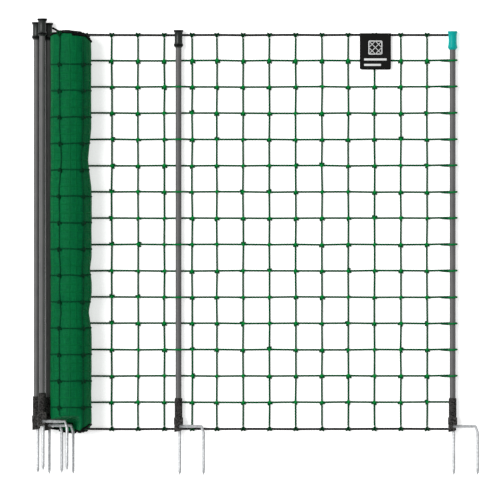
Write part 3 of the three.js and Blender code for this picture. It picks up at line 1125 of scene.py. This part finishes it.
    def _line_route(self, node: str, y: float) -> list[RoutePoint]:
        """An edge line's way, bent a little at each knot.

        Args:
            node: The line's node.
            y: Its place.

        Returns:
            The route.
        """
        dice = random.Random(node)
        low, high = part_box(node)
        height = self.rope.reach
        xs = [self.column_x(column) for column in range(self.columns)][::-1]
        inside = [Vector((x, y + dice.uniform(-0.0005, 0.0005), height)) for x in xs if low[0] < x]
        ends = Vector((low[0], y, height)), Vector((high[0], y, height))
        return full_size([ends[0], *inside, ends[1]])

    def build(self) -> None:
        """Makes the panel's pieces."""
        rows = self.twine.along([self.row_route(row) for row in range(self.rows)])
        shown("net_rows", above_floor(rows), Finish.ROW_TWINE, ["net_mesh"], CREASE)
        columns = self.twine.along([self.column_route(column) for column in range(self.columns)])
        shown("net_columns", above_floor(columns), Finish.COLUMN_TWINE, ["net_mesh"], CREASE)
        crossings = copies(Knots().crossing_shape(), self._crossing_places())
        shown("net_knots", above_floor(crossings), Finish.KNOT_TWINE, ["net_mesh"], CREASE)
        ties = copies(Knots().line_shape(), self._line_places())
        shown("net_line_knots", above_floor(ties), Finish.LINE_KNOT_TWINE, ["net_mesh"], CREASE)
        for node, y in (("head_line", self.head), ("foot_line", self.foot)):
            rope = self.rope.along([self._line_route(node, y)])
            shown(f"{node}_rope", above_floor(rope), Finish.LINE, [node], CREASE)


@dataclass
class NetRoll:
    """The rest of the net, wound up.

    Attributes:
        voxel: Size of the cells that the wound mass is remade in.
        sink: How far the mass lies below the outermost strands.
        wrinkle: Height of its folds.
        slump: How far past its radius it bulges towards the spare post beside it.
        mesh: Spacing of the twines.
        rows: Number of hoops, one for each of the panel's rows.
        head_mesh: Distance of the panel's first row from the head line.
        first_hoop: Distance of the first hoop of twine from the panel's first row.
        first_strand: Angle in degrees of the strand to the left of the top.
        pitch: Distance between two turns at the ends.
        deepest_turn: How far inside the roll's ends a turn may still show.
        flap_top: Height of the flap's upper face.
        around: Steps of a hoop.
        upright: Steps of a strand along the roll.
        seed: Seed of the knots' turns.
        twine: The outermost layer's twine.
        filling: The twine of the layers below it.
        rope: The edge lines' rope.
    """

    voxel: float = 0.0042
    sink: float = 0.0026
    wrinkle: float = 0.0022
    slump: float = 0.0080
    mesh: float = 0.075
    rows: int = 14
    head_mesh: float = 0.073
    first_hoop: float = 0.0125
    first_strand: float = -41.0
    pitch: float = 0.0078
    deepest_turn: float = 0.028
    flap_top: float = 0.0093
    around: int = 72
    upright: int = 149
    seed: int = 5
    twine: Strand = Strand(reach=0.0025, step=0.004, sides=9)
    filling: Strand = Strand(reach=0.0024, step=0.006, plies=1, groove=0.0, lay=0.0, sides=6)
    rope: Strand = Strand(reach=0.0033, plies=4, groove=0.12, lay=0.03, sides=12, step=0.003)

    def __post_init__(self) -> None:
        """Reads the roll's place from the frame."""
        low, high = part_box("net_roll")
        self.radius = high[2] / 2
        self.axis = Vector((high[0] - self.radius, 0.0, self.radius))
        self.foot, self.head = low[1], high[1]
        self.foot_line = middle("foot_line").y
        self.head_line = middle("head_line").y

    def _bulk(self) -> bmesh.types.BMesh:
        """The wound mass: the solid, remade in small cells, drawn in and wrinkled.

        Returns:
            The shape.
        """
        bm = bmesh.new()
        bm.from_mesh(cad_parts["net_roll"].data)
        bmesh.ops.remove_doubles(bm, verts=bm.verts, dist=1e-5)
        thing = as_object("bulk", bm)
        remesh = thing.modifiers.new("cells", "REMESH")
        remesh.mode = "VOXEL"
        remesh.voxel_size = self.voxel
        bm = evaluated(thing)
        for _ in range(3):
            bmesh.ops.smooth_vert(
                bm, verts=bm.verts, factor=0.5, use_axis_x=True, use_axis_y=True, use_axis_z=True
            )
        for vert in bm.verts:
            vert.co += self._fold(vert.co)
        return above_floor(bm)

    def _fold(self, point: Vector) -> Vector:
        """How far a point of the mass moves inwards, with its wrinkles.

        Args:
            point: The point.

        Returns:
            The move.
        """
        out = Vector((point.x - self.axis.x, 0.0, point.z - self.axis.z))
        lean = math.degrees(math.atan2(out.x, out.z)) + 75.0
        window = math.cos(math.radians(2 * lean)) ** 2 if abs(lean) < 45.0 else 0.0
        window *= min(max((out.length / self.radius - 0.6) / 0.2, 0.0), 1.0)
        slump = max(self.radius + self.slump - out.length, 0.0) * window
        if point.y < self.foot_line + 0.041 and abs(point.z - self.flap_top) < 0.002 and out.x < 0.014:
            return Vector((0.0, 0.0, -self.sink))
        if out.length < self.radius * 0.55:
            return Vector((0.0, 0.0, 0.0))
        angle = math.atan2(out.x, out.z)
        seam = Vector((math.sin(angle), math.cos(angle), 0.0))
        long_folds = noise.noise(Vector((seam.x * 2.6, point.y * 7.0, seam.y * 2.6)))
        short_folds = noise.noise(Vector((seam.x * 7.0, point.y * 30.0, seam.y * 7.0 + 9.0)))
        folds = 0.55 * long_folds + 0.35 * short_folds
        return out.normalized() * (slump - self.sink + self.wrinkle * folds)

    def _skin(self, angle: float, y: float) -> Vector | None:
        """The point of the mass that lies furthest out at an angle from the top, or None off it.

        Args:
            angle: The angle.
            y: Place along the roll.

        Returns:
            The point, or None.
        """
        out = Vector((math.sin(angle), 0.0, math.cos(angle)))
        start = Vector((self.axis.x, y, self.axis.z)) + out * 0.2
        hit = self.tree.ray_cast(start, -out, 0.2)[0]
        if hit is None:
            return None
        inside = Vector((hit.x - self.axis.x, 0.0, hit.z - self.axis.z)).length < self.radius * 0.7
        return None if inside else hit

    def _laid(self, angle: float, y: float, proud: float, reach: float) -> Vector | None:
        """A point of a strand on the skin, which stands proud of it by a share of its radius.

        Args:
            angle: Angle from the top.
            y: Place along the roll.
            proud: The share.
            reach: The strand's radius.

        Returns:
            The point, or None off the mass.
        """
        hit = self._skin(angle, y)
        if hit is None:
            return None
        hit = hit + Vector((math.sin(angle), 0.0, math.cos(angle))) * (reach * proud)
        hit.z = max(hit.z, reach * 0.8)
        return hit

    @staticmethod
    def _unbroken(points: Iterable[Vector | None], jump: float) -> list[list[Vector]]:
        """Splits points into stretches, at gaps and where two lie too far apart.

        Args:
            points: The points, with None at a gap.
            jump: The distance that is too far.

        Returns:
            The stretches.
        """
        stretches: list[list[Vector]] = [[]]
        for point in points:
            stretch = stretches[-1]
            if point is None or (stretch and (point - stretch[-1]).length > jump):
                stretches.append([])
            if point is not None:
                stretches[-1].append(point)
        return [stretch for stretch in stretches if len(stretch) > 2]

    def hoop_heights(self) -> list[float]:
        """Where the outermost hoops lie along the roll."""
        first = self.head_line - self.head_mesh - self.first_hoop
        return [first - row * self.mesh for row in range(self.rows)]

    def strand_angles(self) -> list[float]:
        """Angles of the outermost strands from the top."""
        spacing = self.mesh / self.radius
        return [math.radians(self.first_strand) + spacing * i for i in range(-1, 4)]

    def _net(
        self, heights: Sequence[float], angles: Sequence[float], strand: Strand, proud: float, seed: int
    ) -> bmesh.types.BMesh:
        """Hoops and strands of one layer of net on the skin.

        Args:
            heights: Where the hoops lie.
            angles: Where the strands lie.
            strand: The twine.
            proud: How far it stands out, as a share of its radius.
            seed: Seed of its waves.

        Returns:
            The layer.
        """
        routes = []
        for number, height in enumerate(heights):
            around = []
            for i in range(self.around + 1):
                angle = math.tau * i / self.around
                wave = noise.noise(Vector((math.sin(angle) * 1.5, math.cos(angle) * 1.5, seed + number)))
                around.append(self._laid(angle, height + 0.0022 * wave, proud, strand.reach))
            routes += self._unbroken(around, 0.02)
        for number, angle in enumerate(angles):
            upright = []
            for i in range(self.upright + 1):
                y = self.foot + 0.006 + (self.head - self.foot - 0.012) * i / self.upright
                wave = noise.noise(Vector((y * 9.0, seed * 3.0 + number, 0.0)))
                upright.append(self._laid(angle + 0.045 * wave, y, proud, strand.reach))
            routes += self._unbroken(upright, 0.015)
        return strand.along([full_size(route) for route in routes])

    def _knot_places(self) -> list[Matrix]:
        """Where the outermost layer's knots sit, facing out.

        Returns:
            The places.
        """
        dice = random.Random(self.seed)
        places = []
        for height in self.hoop_heights():
            for angle in self.strand_angles():
                hit = self._skin(angle, height)
                if hit is None or hit.z < 0.012 or abs(math.sin(angle)) > 0.9:
                    continue
                facing = Matrix.Rotation(angle, 4, "Y") @ Matrix.Rotation(dice.uniform(-0.5, 0.5), 4, "Z")
                places.append(Matrix.Translation(hit) @ facing @ Matrix.Scale(0.95, 4))
        return places

    def _end_turns(self, head: bool) -> bmesh.types.BMesh:
        """The turns of an edge line that show on one end.

        Args:
            head: Whether it is the head line's end.

        Returns:
            The turns.
        """
        y, way = (self.head + 0.05, -1.0) if head else (self.foot - 0.05, 1.0)
        outermost, innermost = self.radius - 0.0075, 0.0145
        points: list[Vector | None] = []
        turns = (outermost - innermost) / self.pitch
        count = int(turns * 40)
        for i in range(count + 1):
            angle = math.tau * turns * i / count
            radius = outermost - self.pitch * angle / math.tau
            start = self.axis + Vector((radius * math.sin(angle), y, radius * math.cos(angle)))
            hit = self.tree.ray_cast(start, Vector((0.0, way, 0.0)), 0.05 + self.deepest_turn)[0]
            if hit is not None:
                hit = hit - Vector((0.0, way * self.rope.reach * 0.45, 0.0))
            points.append(hit)
        stretches = self._unbroken(points, 0.016)
        return self.rope.along([full_size(smooth(stretch, steps=2)) for stretch in stretches])

    def _edge_point(self, angle: float, inset: float) -> Vector:
        """A point a little inside the roll's outline, at an angle in degrees from the top."""
        turn, radius = math.radians(angle), self.radius - self.sink - inset
        return self.axis + Vector((radius * math.sin(turn), 0.0, radius * math.cos(turn)))

    def _foot_outer_turn(self) -> list[Vector]:
        """The foot line's outermost turn: along the flap, up beside the treads and over the roll's end.

        Returns:
            Its points.
        """
        lie = self.flap_top - self.sink + self.rope.reach
        flap = [(-0.0400, -0.0035), (-0.0250, -0.0070), (-0.0090, -0.0090), (0.0060, -0.0096)]
        route = [Vector((self.axis.x + x, self.foot_line + y, lie)) for x, y in flap]
        climb = ((0.0110, 0.0200), (0.0158, 0.0440), (0.0216, 0.0700), (0.0270, 0.0900))
        places = [Vector((self.axis.x + x, 0.0, z)) for x, z in climb]
        edge = ((40, 0.0085), (48, 0.0050), (57, 0.0026), (66, 0.0014), (80, 0.0012))
        places += [self._edge_point(angle, inset) for angle, inset in edge]
        places += [self._edge_point(angle, 0.0014) for angle in range(95, 150, 13)]
        for place in places:
            start = Vector((place.x, self.foot - 0.05, place.z))
            hit = self.tree.ray_cast(start, Vector((0.0, 1.0, 0.0)), 0.12)[0]
            if hit is not None:
                route.append(hit - Vector((0.0, 0.0016, 0.0)))
        return route

    def _head_outer_turn(self) -> list[Vector]:
        """The head line's outermost turn, from the spare post over the roll's end to its right corner.

        Returns:
            Its points.
        """
        route = []
        left = ((-86, 0.0130), (-70, 0.0100), (-52, 0.0070), (-34, 0.0050), (-14, 0.0040), (6, 0.0040))
        right = ((20, 0.0050), (32, 0.0075), (44, 0.0120), (56, 0.0180), (70, 0.0250), (90, 0.0300))
        for angle, back in left + right:
            point = self._laid(math.radians(angle), self.head - back, 0.5, self.rope.reach)
            if point is not None:
                route.append(point)
        return route

    def _line_knot_places(self) -> list[Matrix]:
        """Where the outermost strands are tied to the head line's turn.

        Returns:
            The places.
        """
        places = []
        for angle in self.strand_angles()[1:3]:
            point = self._laid(angle, self.head - 0.0085, 0.2, self.rope.reach)
            if point is not None:
                places.append(Matrix.Translation(point) @ Matrix.Rotation(angle, 4, "Y"))
        return places

    def build(self) -> None:
        """Makes the roll's pieces."""
        bulk = self._bulk()
        self.tree = BVHTree.FromBMesh(bulk)
        node = ["net_roll"]
        shown("roll_wound_mass", bulk, Finish.BULK, node, 80.0)
        hoops, angles = self.hoop_heights(), self.strand_angles()
        outer = self._net(hoops, angles, self.twine, 0.25, 1)
        shown("roll_outer_twines", above_floor(outer), Finish.ROLL_TWINE, node, CREASE)
        lower = [height + self.mesh * 0.37 for height in hoops[1:]]
        between = [angle + 0.58 for angle in angles]
        under = [self._net(lower, between, self.filling, -0.35, 2)]
        lowest = [height + self.mesh * 0.68 for height in hoops[1:]]
        under.append(self._net(lowest, [angle + 0.95 for angle in angles], self.filling, -0.55, 3))
        filling = above_floor(merged(under))
        shown("roll_under_twines", filling, Finish.ROLL_FILLING, node, CREASE)
        knots = copies(Knots().crossing_shape(), self._knot_places())
        shown("roll_knots", above_floor(knots), Finish.ROLL_KNOT_TWINE, node, CREASE)
        shown("roll_head_turns", above_floor(self._end_turns(True)), Finish.LINE, node, CREASE)
        shown("roll_foot_turns", above_floor(self._end_turns(False)), Finish.LINE, node, CREASE)
        routes = (self._foot_outer_turn(), self._head_outer_turn())
        over = self.rope.along([full_size(smooth(route)) for route in routes])
        shown("roll_outer_turns", above_floor(over), Finish.LINE, node, CREASE)
        ties = copies(Knots().line_shape(), self._line_knot_places())
        shown("roll_line_knots", above_floor(ties), Finish.LINE_KNOT_TWINE, node, CREASE)


@dataclass
class Ties:
    """The short stretches of edge line between the roll and the spare post beside it.

    Attributes:
        half: How far the rope's middle lies inside its solid's faces.
        rope: The rope.
    """

    half: float = 0.0034
    rope: Strand = Strand(reach=0.0033, plies=4, groove=0.12, lay=0.03, sides=12, step=0.0025)

    def build(self) -> None:
        """Makes both stretches, along the routes that their solids have."""
        post = middle("spare_post_right_rod").x
        half = self.half
        low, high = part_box("head_line_tie")
        head = [
            Vector((low[0], high[1] - half, half)),
            Vector((post + 0.0085, high[1] - half, half)),
            Vector((post + 0.0140, high[1] - 0.0042, half)),
            Vector((high[0] - 0.0060, low[1] + 0.0100, half)),
            Vector((high[0] - 0.0005, low[1] + 0.0030, half)),
        ]
        low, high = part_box("foot_line_tie")
        foot = [
            Vector((low[0], high[1] - half, high[2] - half)),
            Vector((post + 0.0050, high[1] - half, high[2] - half)),
            Vector((post + 0.0100, high[1] - 0.0040, high[2] - 0.0042)),
            Vector((high[0] - 0.0100, low[1] + 0.0040, low[2] + half)),
            Vector((high[0] + 0.0020, low[1] + 0.0036, low[2] + 0.0012)),
        ]
        for name, route in (("head_line_tie", head), ("foot_line_tie", foot)):
            bm = self.rope.along([full_size(smooth(route))])
            shown(f"{name}_rope", above_floor(bm), Finish.LINE, [name], CREASE)


class CapStyle(Enum):
    """The two kinds of cap, with their finish and material slot."""

    BLACK = (Finish.CAP, "cap")
    TEAL = (Finish.END_CAP, "end_cap")


@dataclass
class Post:
    """One post: cap, rod, foot and double spike.

    Its shapes are made with the cap's top at the origin and the rod along -Y.

    Attributes:
        name: The post's name.
        style: Its kind of cap.
        rod_radius: Radius of the rod.
        half_height: Half of the thickness of flange and foot, and the height of the axis over the floor.
        cap_length: Length of the cap. Not used.
        rod_in_foot: How far the rod goes into the foot.
        sleeve: Radius and length of the foot's sleeve.
        tread_drop: From the foot's top to the tread's middle.
        spike_side: How far the spike stands beside the post's axis.
        spike_spacing: From one spike to the other.
        spike_length: From the tread's middle to the tips.
        steel: Radius of the steel bar.
        line_place: Height of the floor-side groove for the foot line below the foot's top.
        clearance: Room round the steel in the foot.
        line: Thickness of the edge lines.
        spare_rise: From a bundled post's cap top down to its head line groove.
    """

    name: str
    style: CapStyle = CapStyle.BLACK
    rod_radius: float = 0.0085
    half_height: float = 0.014
    cap_length: float = 0.050
    rod_in_foot: float = 0.050
    sleeve: tuple[float, float] = (0.01125, 0.055)
    tread_drop: float = 0.0807
    spike_side: float = 0.0034
    spike_spacing: float = 0.068
    spike_length: float = 0.140
    steel: float = 0.0044
    line_place: float = 0.0885
    clearance: float = 0.0003
    line: float = 0.0065
    spare_rise: float = 0.014

    def __post_init__(self) -> None:
        """Reads the post's place, slope and length from the frame."""
        rod_low, rod_high = (Vector(corner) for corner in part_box(f"{self.name}_rod"))
        cap_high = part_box(f"{self.name}_cap")[1]
        foot_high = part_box(f"{self.name}_foot")[1]
        slope = (rod_high.z - rod_low.z - 2 * self.rod_radius) / (rod_high.y - rod_low.y)
        top = cap_high[1] - self.half_height * slope
        height = rod_low.z + self.rod_radius - slope * (top - rod_high.y)
        self.length = top - foot_high[1] + self.sleeve[0] * slope
        turn = Matrix.Rotation(-math.atan(slope), 4, "X")
        self.place = Matrix.Translation(((rod_low.x + rod_high.x) / 2, top, height)) @ turn

    def _groove(self, y: float) -> bmesh.types.BMesh:
        """The cutter of the groove that an edge line runs through at the back.

        Args:
            y: The line's place.

        Returns:
            The cutter.
        """
        half = self.line / 2 + 0.0007
        floor = self.line + 0.0006 - self.half_height
        return block((-0.03, y - half, -0.03), (0.03, y + half, floor))

    def _black_cap(self) -> bmesh.types.BMesh:
        """A straight cap with a flat rim on top, a flared collar and a notch at its front.

        Returns:
            The cap.
        """
        bore, rim, body, collar = self.rod_radius + 0.0002, self.half_height, 0.0113, 0.0137
        profile = [
            (0.0, -0.020),
            (bore, -0.020),
            (bore, -0.0500),
            (bore + 0.0012, -0.0500),
            (collar - 0.0012, -0.0462),
            (collar, -0.0440),
            (collar, -0.0425),
            (collar - 0.0008, -0.0405),
            (body + 0.0002, -0.0370),
            (body, -0.0340),
            (body - 0.0002, -0.0200),
            (body, -0.0090),
            (rim - 0.0014, -0.0054),
            (rim, -0.0040),
            (rim, -0.0008),
            (rim - 0.0008, 0.0),
            (0.0105, 0.0),
            (0.0098, -0.0008),
            (0.0, -0.0008),
        ]
        notch = block((-0.0030, -0.0030, -0.0012), (0.0030, 0.0030, 0.0040))
        slant = Matrix.Translation((0.0, -0.0428, body)) @ Matrix.Rotation(math.radians(45), 4, "Z")
        bmesh.ops.transform(notch, matrix=slant, verts=notch.verts)
        return combined(turned(profile, 48), cut=[notch])

    def _teal_cap(self) -> bmesh.types.BMesh:
        """A waisted cap with flared ends.

        Returns:
            The cap.
        """
        bore, rim, body = self.rod_radius + 0.0002, self.half_height, 0.0119
        profile = [
            (0.0, -0.020),
            (bore, -0.020),
            (bore, -0.0530),
            (bore + 0.0012, -0.0530),
            (rim - 0.0022, -0.0500),
            (rim - 0.0004, -0.0476),
            (rim, -0.0458),
            (rim - 0.0006, -0.0436),
            (body + 0.0006, -0.0396),
            (body + 0.0001, -0.0360),
            (body - 0.0003, -0.0265),
            (body, -0.0140),
            (body + 0.0003, -0.0095),
            (rim - 0.0008, -0.0058),
            (rim - 0.0002, -0.0035),
            (rim, -0.0015),
            (rim - 0.0010, 0.0),
            (0.0, 0.0),
        ]
        return turned(profile, 48)

    def _cap(self) -> bmesh.types.BMesh:
        """The cap with the groove for the head line.

        Returns:
            The cap, its flange and collar marked with material index 1 for painted shade.
        """
        shape = self._black_cap() if self.style is CapStyle.BLACK else self._teal_cap()
        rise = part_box(f"{self.name}_cap")[1][1] - middle("head_line").y
        if self.name.startswith("spare"):
            rise = self.spare_rise
        bm = combined(shape, cut=[self._groove(-rise)])
        for face in bm.faces:
            y = face.calc_center_median().y
            # The flange and collar get the darker finish: painted shade.
            on_shaded_rim = y > -0.0058 or -0.0476 < y < -0.0402
            face.material_index = int(on_shaded_rim and self.style is CapStyle.BLACK)
        return bm

    def _rod(self) -> bmesh.types.BMesh:
        """The rod, with its ends chamfered.

        Returns:
            The rod.
        """
        top, bottom, edge = -0.0203, -self.length - self.rod_in_foot, 0.0006
        profile = [
            (0.0, top),
            (self.rod_radius - edge, top),
            (self.rod_radius, top - edge),
            (self.rod_radius, bottom + edge),
            (self.rod_radius - edge, bottom),
            (0.0, bottom),
        ]
        return turned(profile, 40)

    def _grip(self) -> bmesh.types.BMesh:
        """The foot's sleeve with rows of raised pads round it.

        Returns:
            The sleeve.
        """
        radius, length = self.sleeve
        rings = 15
        edge = 0.0012
        wall = [(radius - 0.0007, -edge - (length - 2 * edge) * i / rings) for i in range(rings + 1)]
        inner_end = -length - 0.008
        profile = [(0.0, 0.0), (radius - 0.0016, 0.0), *wall, (radius - 0.0007, inner_end), (0.0, inner_end)]
        bm = turned(profile, 32)
        bm.faces.ensure_lookup_table()
        pads = [
            face for face in bm.faces
            if -length + edge < face.calc_center_median().y < -edge and abs(face.normal.y) < 0.1
        ]
        bmesh.ops.inset_individual(bm, faces=pads, thickness=0.00034, depth=0.0006)
        return bm

    def _foot(self) -> bmesh.types.BMesh:
        """The foot: sleeve, block and heel as one moulding, with room for rod, spike, tread and line.

        Returns:
            The foot.
        """
        half, top = 0.013, -self.sleeve[1]
        bottom = top - 0.021
        heel_bottom = bottom - 0.016
        body = block((-half, bottom, -self.half_height), (half, top, self.half_height), 0.0018)
        heel_low = (-0.012, heel_bottom - 0.005, 0.0004 - self.half_height)
        heel = block(heel_low, (0.010, bottom + 0.004, self.half_height))
        for vert in heel.verts:
            if vert.co.y < heel_bottom and vert.co.x > 0:
                vert.co.y = heel_bottom
        soften(heel, 30.0, 0.0012)
        steel = self.steel + self.clearance
        slot_top = Vector((0.030, -self.tread_drop + steel, 0.030))
        cuts = [
            bar((0, 0.002, 0), (0, -self.rod_in_foot - 0.0003, 0), self.rod_radius + 0.0002, 24),
            bar((self.spike_side, -0.120, 0), (self.spike_side, 0.0223 - self.tread_drop, 0), steel),
            block((self.spike_side - 0.0048, -self.tread_drop - steel, -steel), slot_top),
            self._groove(-self.line_place),
        ]
        return combined(self._grip(), [body, heel], cuts)

    def _double_spike(self) -> bmesh.types.BMesh:
        """Two pointed bars and the tread that joins them, bent at the outer one and welded at the inner.

        Returns:
            The bars.
        """
        strand = Strand(self.steel, plies=1, groove=0.0, lay=0.0, step=0.012, sides=20)
        inner, outer = self.spike_side, self.spike_side + self.spike_spacing
        tread, tip, point = -self.tread_drop, -self.tread_drop - self.spike_length, 0.010
        bend = 0.0062

        def ending(x: float) -> list[RoutePoint]:
            """The pointed end of a bar."""
            return [
                (Vector((x, tip + point, 0)), 1.0),
                (Vector((x, tip + point * 0.72, 0)), 0.84),
                (Vector((x, tip, 0)), 0.03),
            ]

        corner = [
            Vector((outer - bend + bend * math.sin(a), tread - bend + bend * math.cos(a), 0))
            for a in (math.radians(i * 15) for i in range(7))
        ]
        stem = [(Vector((inner, tread + 0.022, 0)), 1.0), *ending(inner)]
        arm = [(Vector((inner - 0.0045, tread, 0)), 1.0), *full_size(corner), *ending(outer)]
        bars = strand.along([stem, arm])
        beads = []
        for side in (-1, 1):
            bead = bmesh.new()
            place = Matrix.Translation((inner + self.steel * 0.95, tread + side * self.steel * 0.95, 0))
            size = Matrix.Diagonal((1.0, 1.0, 1.5, 1.0))
            bmesh.ops.create_icosphere(bead, subdivisions=2, radius=0.0022, matrix=place @ size)
            for vert in bead.verts:
                vert.co += vert.co.normalized() * 0.0003 * noise.noise(vert.co * 900)
            beads.append(bead)
        return merged([bars, *beads])

    def build(self) -> None:
        """Makes the post's pieces where the frame has them."""
        cap_finish, cap_slot = self.style.value
        below = Matrix.Translation((0, -self.length, 0))
        parts = (
            ("cap", self._cap(), Matrix.Identity(4), cap_finish, cap_slot, "cap_moulding"),
            ("rod", self._rod(), Matrix.Identity(4), Finish.ROD, "rod", "rod_tube"),
            ("foot", self._foot(), below, Finish.FOOT, "foot", "foot_moulding"),
            ("double_spike", self._double_spike(), below, Finish.STEEL, "steel", "spike_bars"),
        )
        for node, bm, shift, finish, slot, word in parts:
            bmesh.ops.transform(bm, matrix=self.place @ shift, verts=bm.verts)
            # The caps' flange and collar get a darker finish: painted shade.
            painted_shade_finish = Finish.CAP_RIM if finish is Finish.CAP else None
            shown(f"{self.name}_{word}", bm, finish, [f"{self.name}_{node}"], 30.0, painted_shade_finish)


@dataclass
class Tag:
    """The black plate on the head line, with a plain net sign and two bars.

    Attributes:
        corner: Radius of its lower corners.
        rim: Width of its darker rim.
        print_height: How far the print stands up.
        sign: Half the width of the net sign.
    """

    corner: float = 0.005
    rim: float = 0.0030
    print_height: float = 0.00025
    sign: float = 0.0185

    def __post_init__(self) -> None:
        """Reads the tag's place from the frame."""
        self.low, self.high = (Vector(corner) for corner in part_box("tag_plate"))
        self.face = self.high.z
        self.under = self.face - 0.0015
        self.top = self.high.y

    def _outline(self, inset: float) -> bmesh.types.BMesh:
        """The plate as a thin slab with its lower corners rounded, drawn in by a distance.

        Args:
            inset: The distance.

        Returns:
            The shape.
        """
        low, high = self.low, self.high
        bm = block((low.x + inset, low.y + inset, self.under), (high.x - inset, self.top - inset, self.face))
        corners = [
            e for e in bm.edges
            if abs(e.verts[0].co.z - e.verts[1].co.z) > 0.001 and e.verts[0].co.y < (low.y + high.y) / 2
        ]
        rounded(bm, corners, max(self.corner - inset, 0.001), 6)
        return bm

    def _plate(self) -> bmesh.types.BMesh:
        """The plate with its lip over the head line, its edges rounded.

        Returns:
            The plate.
        """
        plate = self._outline(0.0)
        soften(plate, 60.0, 0.0004)
        lip_low = (self.low.x, self.top - 0.0016, self.low.z)
        lip = block(lip_low, (self.high.x, self.top, self.under + 0.0006), 0.0004)
        return merged([plate, lip])

    def _field(self) -> bmesh.types.BMesh:
        """The slightly raised field inside the rim.

        Returns:
            The field.
        """
        field_shape = self._outline(self.rim)
        for vert in field_shape.verts:
            vert.co.z = self.face - 0.0002 if vert.co.z < self.face - 0.0005 else self.face + 0.0001
        return field_shape

    def _line(self, start: Vector, end: Vector, width: float) -> bmesh.types.BMesh:
        """A printed line between two points of the plate.

        Args:
            start: One end.
            end: The other end.
            width: Its width.

        Returns:
            The line.
        """
        run = end - start
        bm = block(
            (-width / 2, -run.length / 2, self.face),
            (width / 2, run.length / 2, self.face + self.print_height),
            0.0001,
        )
        turn = Matrix.Rotation(math.atan2(-run.x, run.y), 4, "Z")
        place = Matrix.Translation(((start.x + end.x) / 2, (start.y + end.y) / 2, 0.0))
        bmesh.ops.transform(bm, matrix=place @ turn, verts=bm.verts)
        return bm

    def _print(self) -> bmesh.types.BMesh:
        """A square frame with a net of slanting lines in it, and two bars below.

        Returns:
            The print.
        """
        centre = Vector(((self.low.x + self.high.x) / 2, self.high.y - 0.041, 0.0))
        half = self.sign
        ring = [Vector((x * half, y * half, 0)) for x, y in ((-1, -1), (1, -1), (1, 1), (-1, 1))]
        shapes = [self._line(centre + a, centre + b, 0.0026) for a, b in zip(ring, [*ring[1:], ring[0]])]
        for across in (-0.5, 0.0, 0.5):
            offset = half * across * 2
            a = Vector((max(-half, offset - half), max(-half, -offset - half), 0))
            b = Vector((min(half, offset + half), min(half, half - offset), 0))
            mirrored = [Vector((-point.x, point.y, 0)) for point in (a, b)]
            shapes.append(self._line(centre + a, centre + b, 0.0017))
            shapes.append(self._line(centre + mirrored[0], centre + mirrored[1], 0.0017))
        for drop, reach in ((0.0750, 0.0320), (0.0905, 0.0240)):
            y = self.high.y - drop
            start, end = Vector((centre.x - 0.0320, y, 0)), Vector((centre.x - 0.0320 + 2 * reach, y, 0))
            shapes.append(self._line(start, end, 0.0058))
        return merged(shapes)

    def build(self) -> None:
        """Makes the tag's pieces."""
        node = ["tag_plate"]
        shown("tag_rimmed_plate", self._plate(), Finish.TAG_RIM, node, 40.0)
        shown("tag_field", self._field(), Finish.TAG, node, 40.0)
        shown("tag_net_sign", self._print(), Finish.PRINT, node, 40.0)


@dataclass
class Studio:
    """Floor, light and camera.

    Attributes:
        aim: The point that the camera looks down on.
        width: Width of the floor that it sees.
        height: Its height over the floor.
        sensor: Width of its sensor, in millimetres.
        sky: Strength of the light from all round.
        key: Strength of the soft light from above.
        key_spread: Its width in degrees.
        key_tilt: How far it leans, in degrees, about X and Y.
        floor_drop: How far the floor lies below the part.
        floor_reach: Radius of the floor.
    """

    aim: tuple[float, float] = (-0.0156, -0.0085)
    width: float = 1.4275
    height: float = 20.0
    sensor: float = 36.0
    sky: float = 0.5
    key: float = 2.3
    key_spread: float = 34.0
    key_tilt: tuple[float, float] = (-10.0, -36.0)
    floor_drop: float = 0.0006
    floor_reach: float = 30.0

    def build(self) -> None:
        """Makes the floor, the lights and the camera."""
        bm = bmesh.new()
        bmesh.ops.create_circle(bm, cap_ends=True, segments=64, radius=self.floor_reach)
        floor = as_object("floor", bm)
        floor.location.z = -self.floor_drop
        floor.data.materials.append(Finish.FLOOR.material())
        scene = bpy.context.scene
        scene.world = scene.world or bpy.data.worlds.new("sky")
        scene.world.use_nodes = True
        background = scene.world.node_tree.nodes["Background"]
        background.inputs["Color"].default_value = (1.0, 1.0, 1.0, 1.0)
        background.inputs["Strength"].default_value = self.sky
        lamp = bpy.data.lights.new("key", "SUN")
        lamp.energy = self.key
        lamp.angle = math.radians(self.key_spread)
        key = bpy.data.objects.new("key", lamp)
        key.rotation_euler = (math.radians(self.key_tilt[0]), math.radians(self.key_tilt[1]), 0.0)
        scene.collection.objects.link(key)
        lens = bpy.data.cameras.new("camera")
        lens.sensor_width = self.sensor
        lens.lens = self.sensor * self.height / self.width
        lens.clip_end = 200.0
        camera = bpy.data.objects.new("camera", lens)
        camera.location = (*self.aim, self.height)
        scene.collection.objects.link(camera)
        scene.camera = camera
        scene.view_settings.view_transform = "Standard"


def main() -> None:
    """Builds the netting piece by piece."""
    logging.basicConfig(level=logging.INFO, format="%(name)s %(message)s")
    Studio().build()
    NetPanel().build()
    NetRoll().build()
    Ties().build()
    Post("end_post", CapStyle.TEAL).build()
    for name in ("woven_post", "spare_post_left", "spare_post_right", "spare_post_top"):
        Post(name).build()
    Tag().build()


if __name__ == "__main__":
    main()
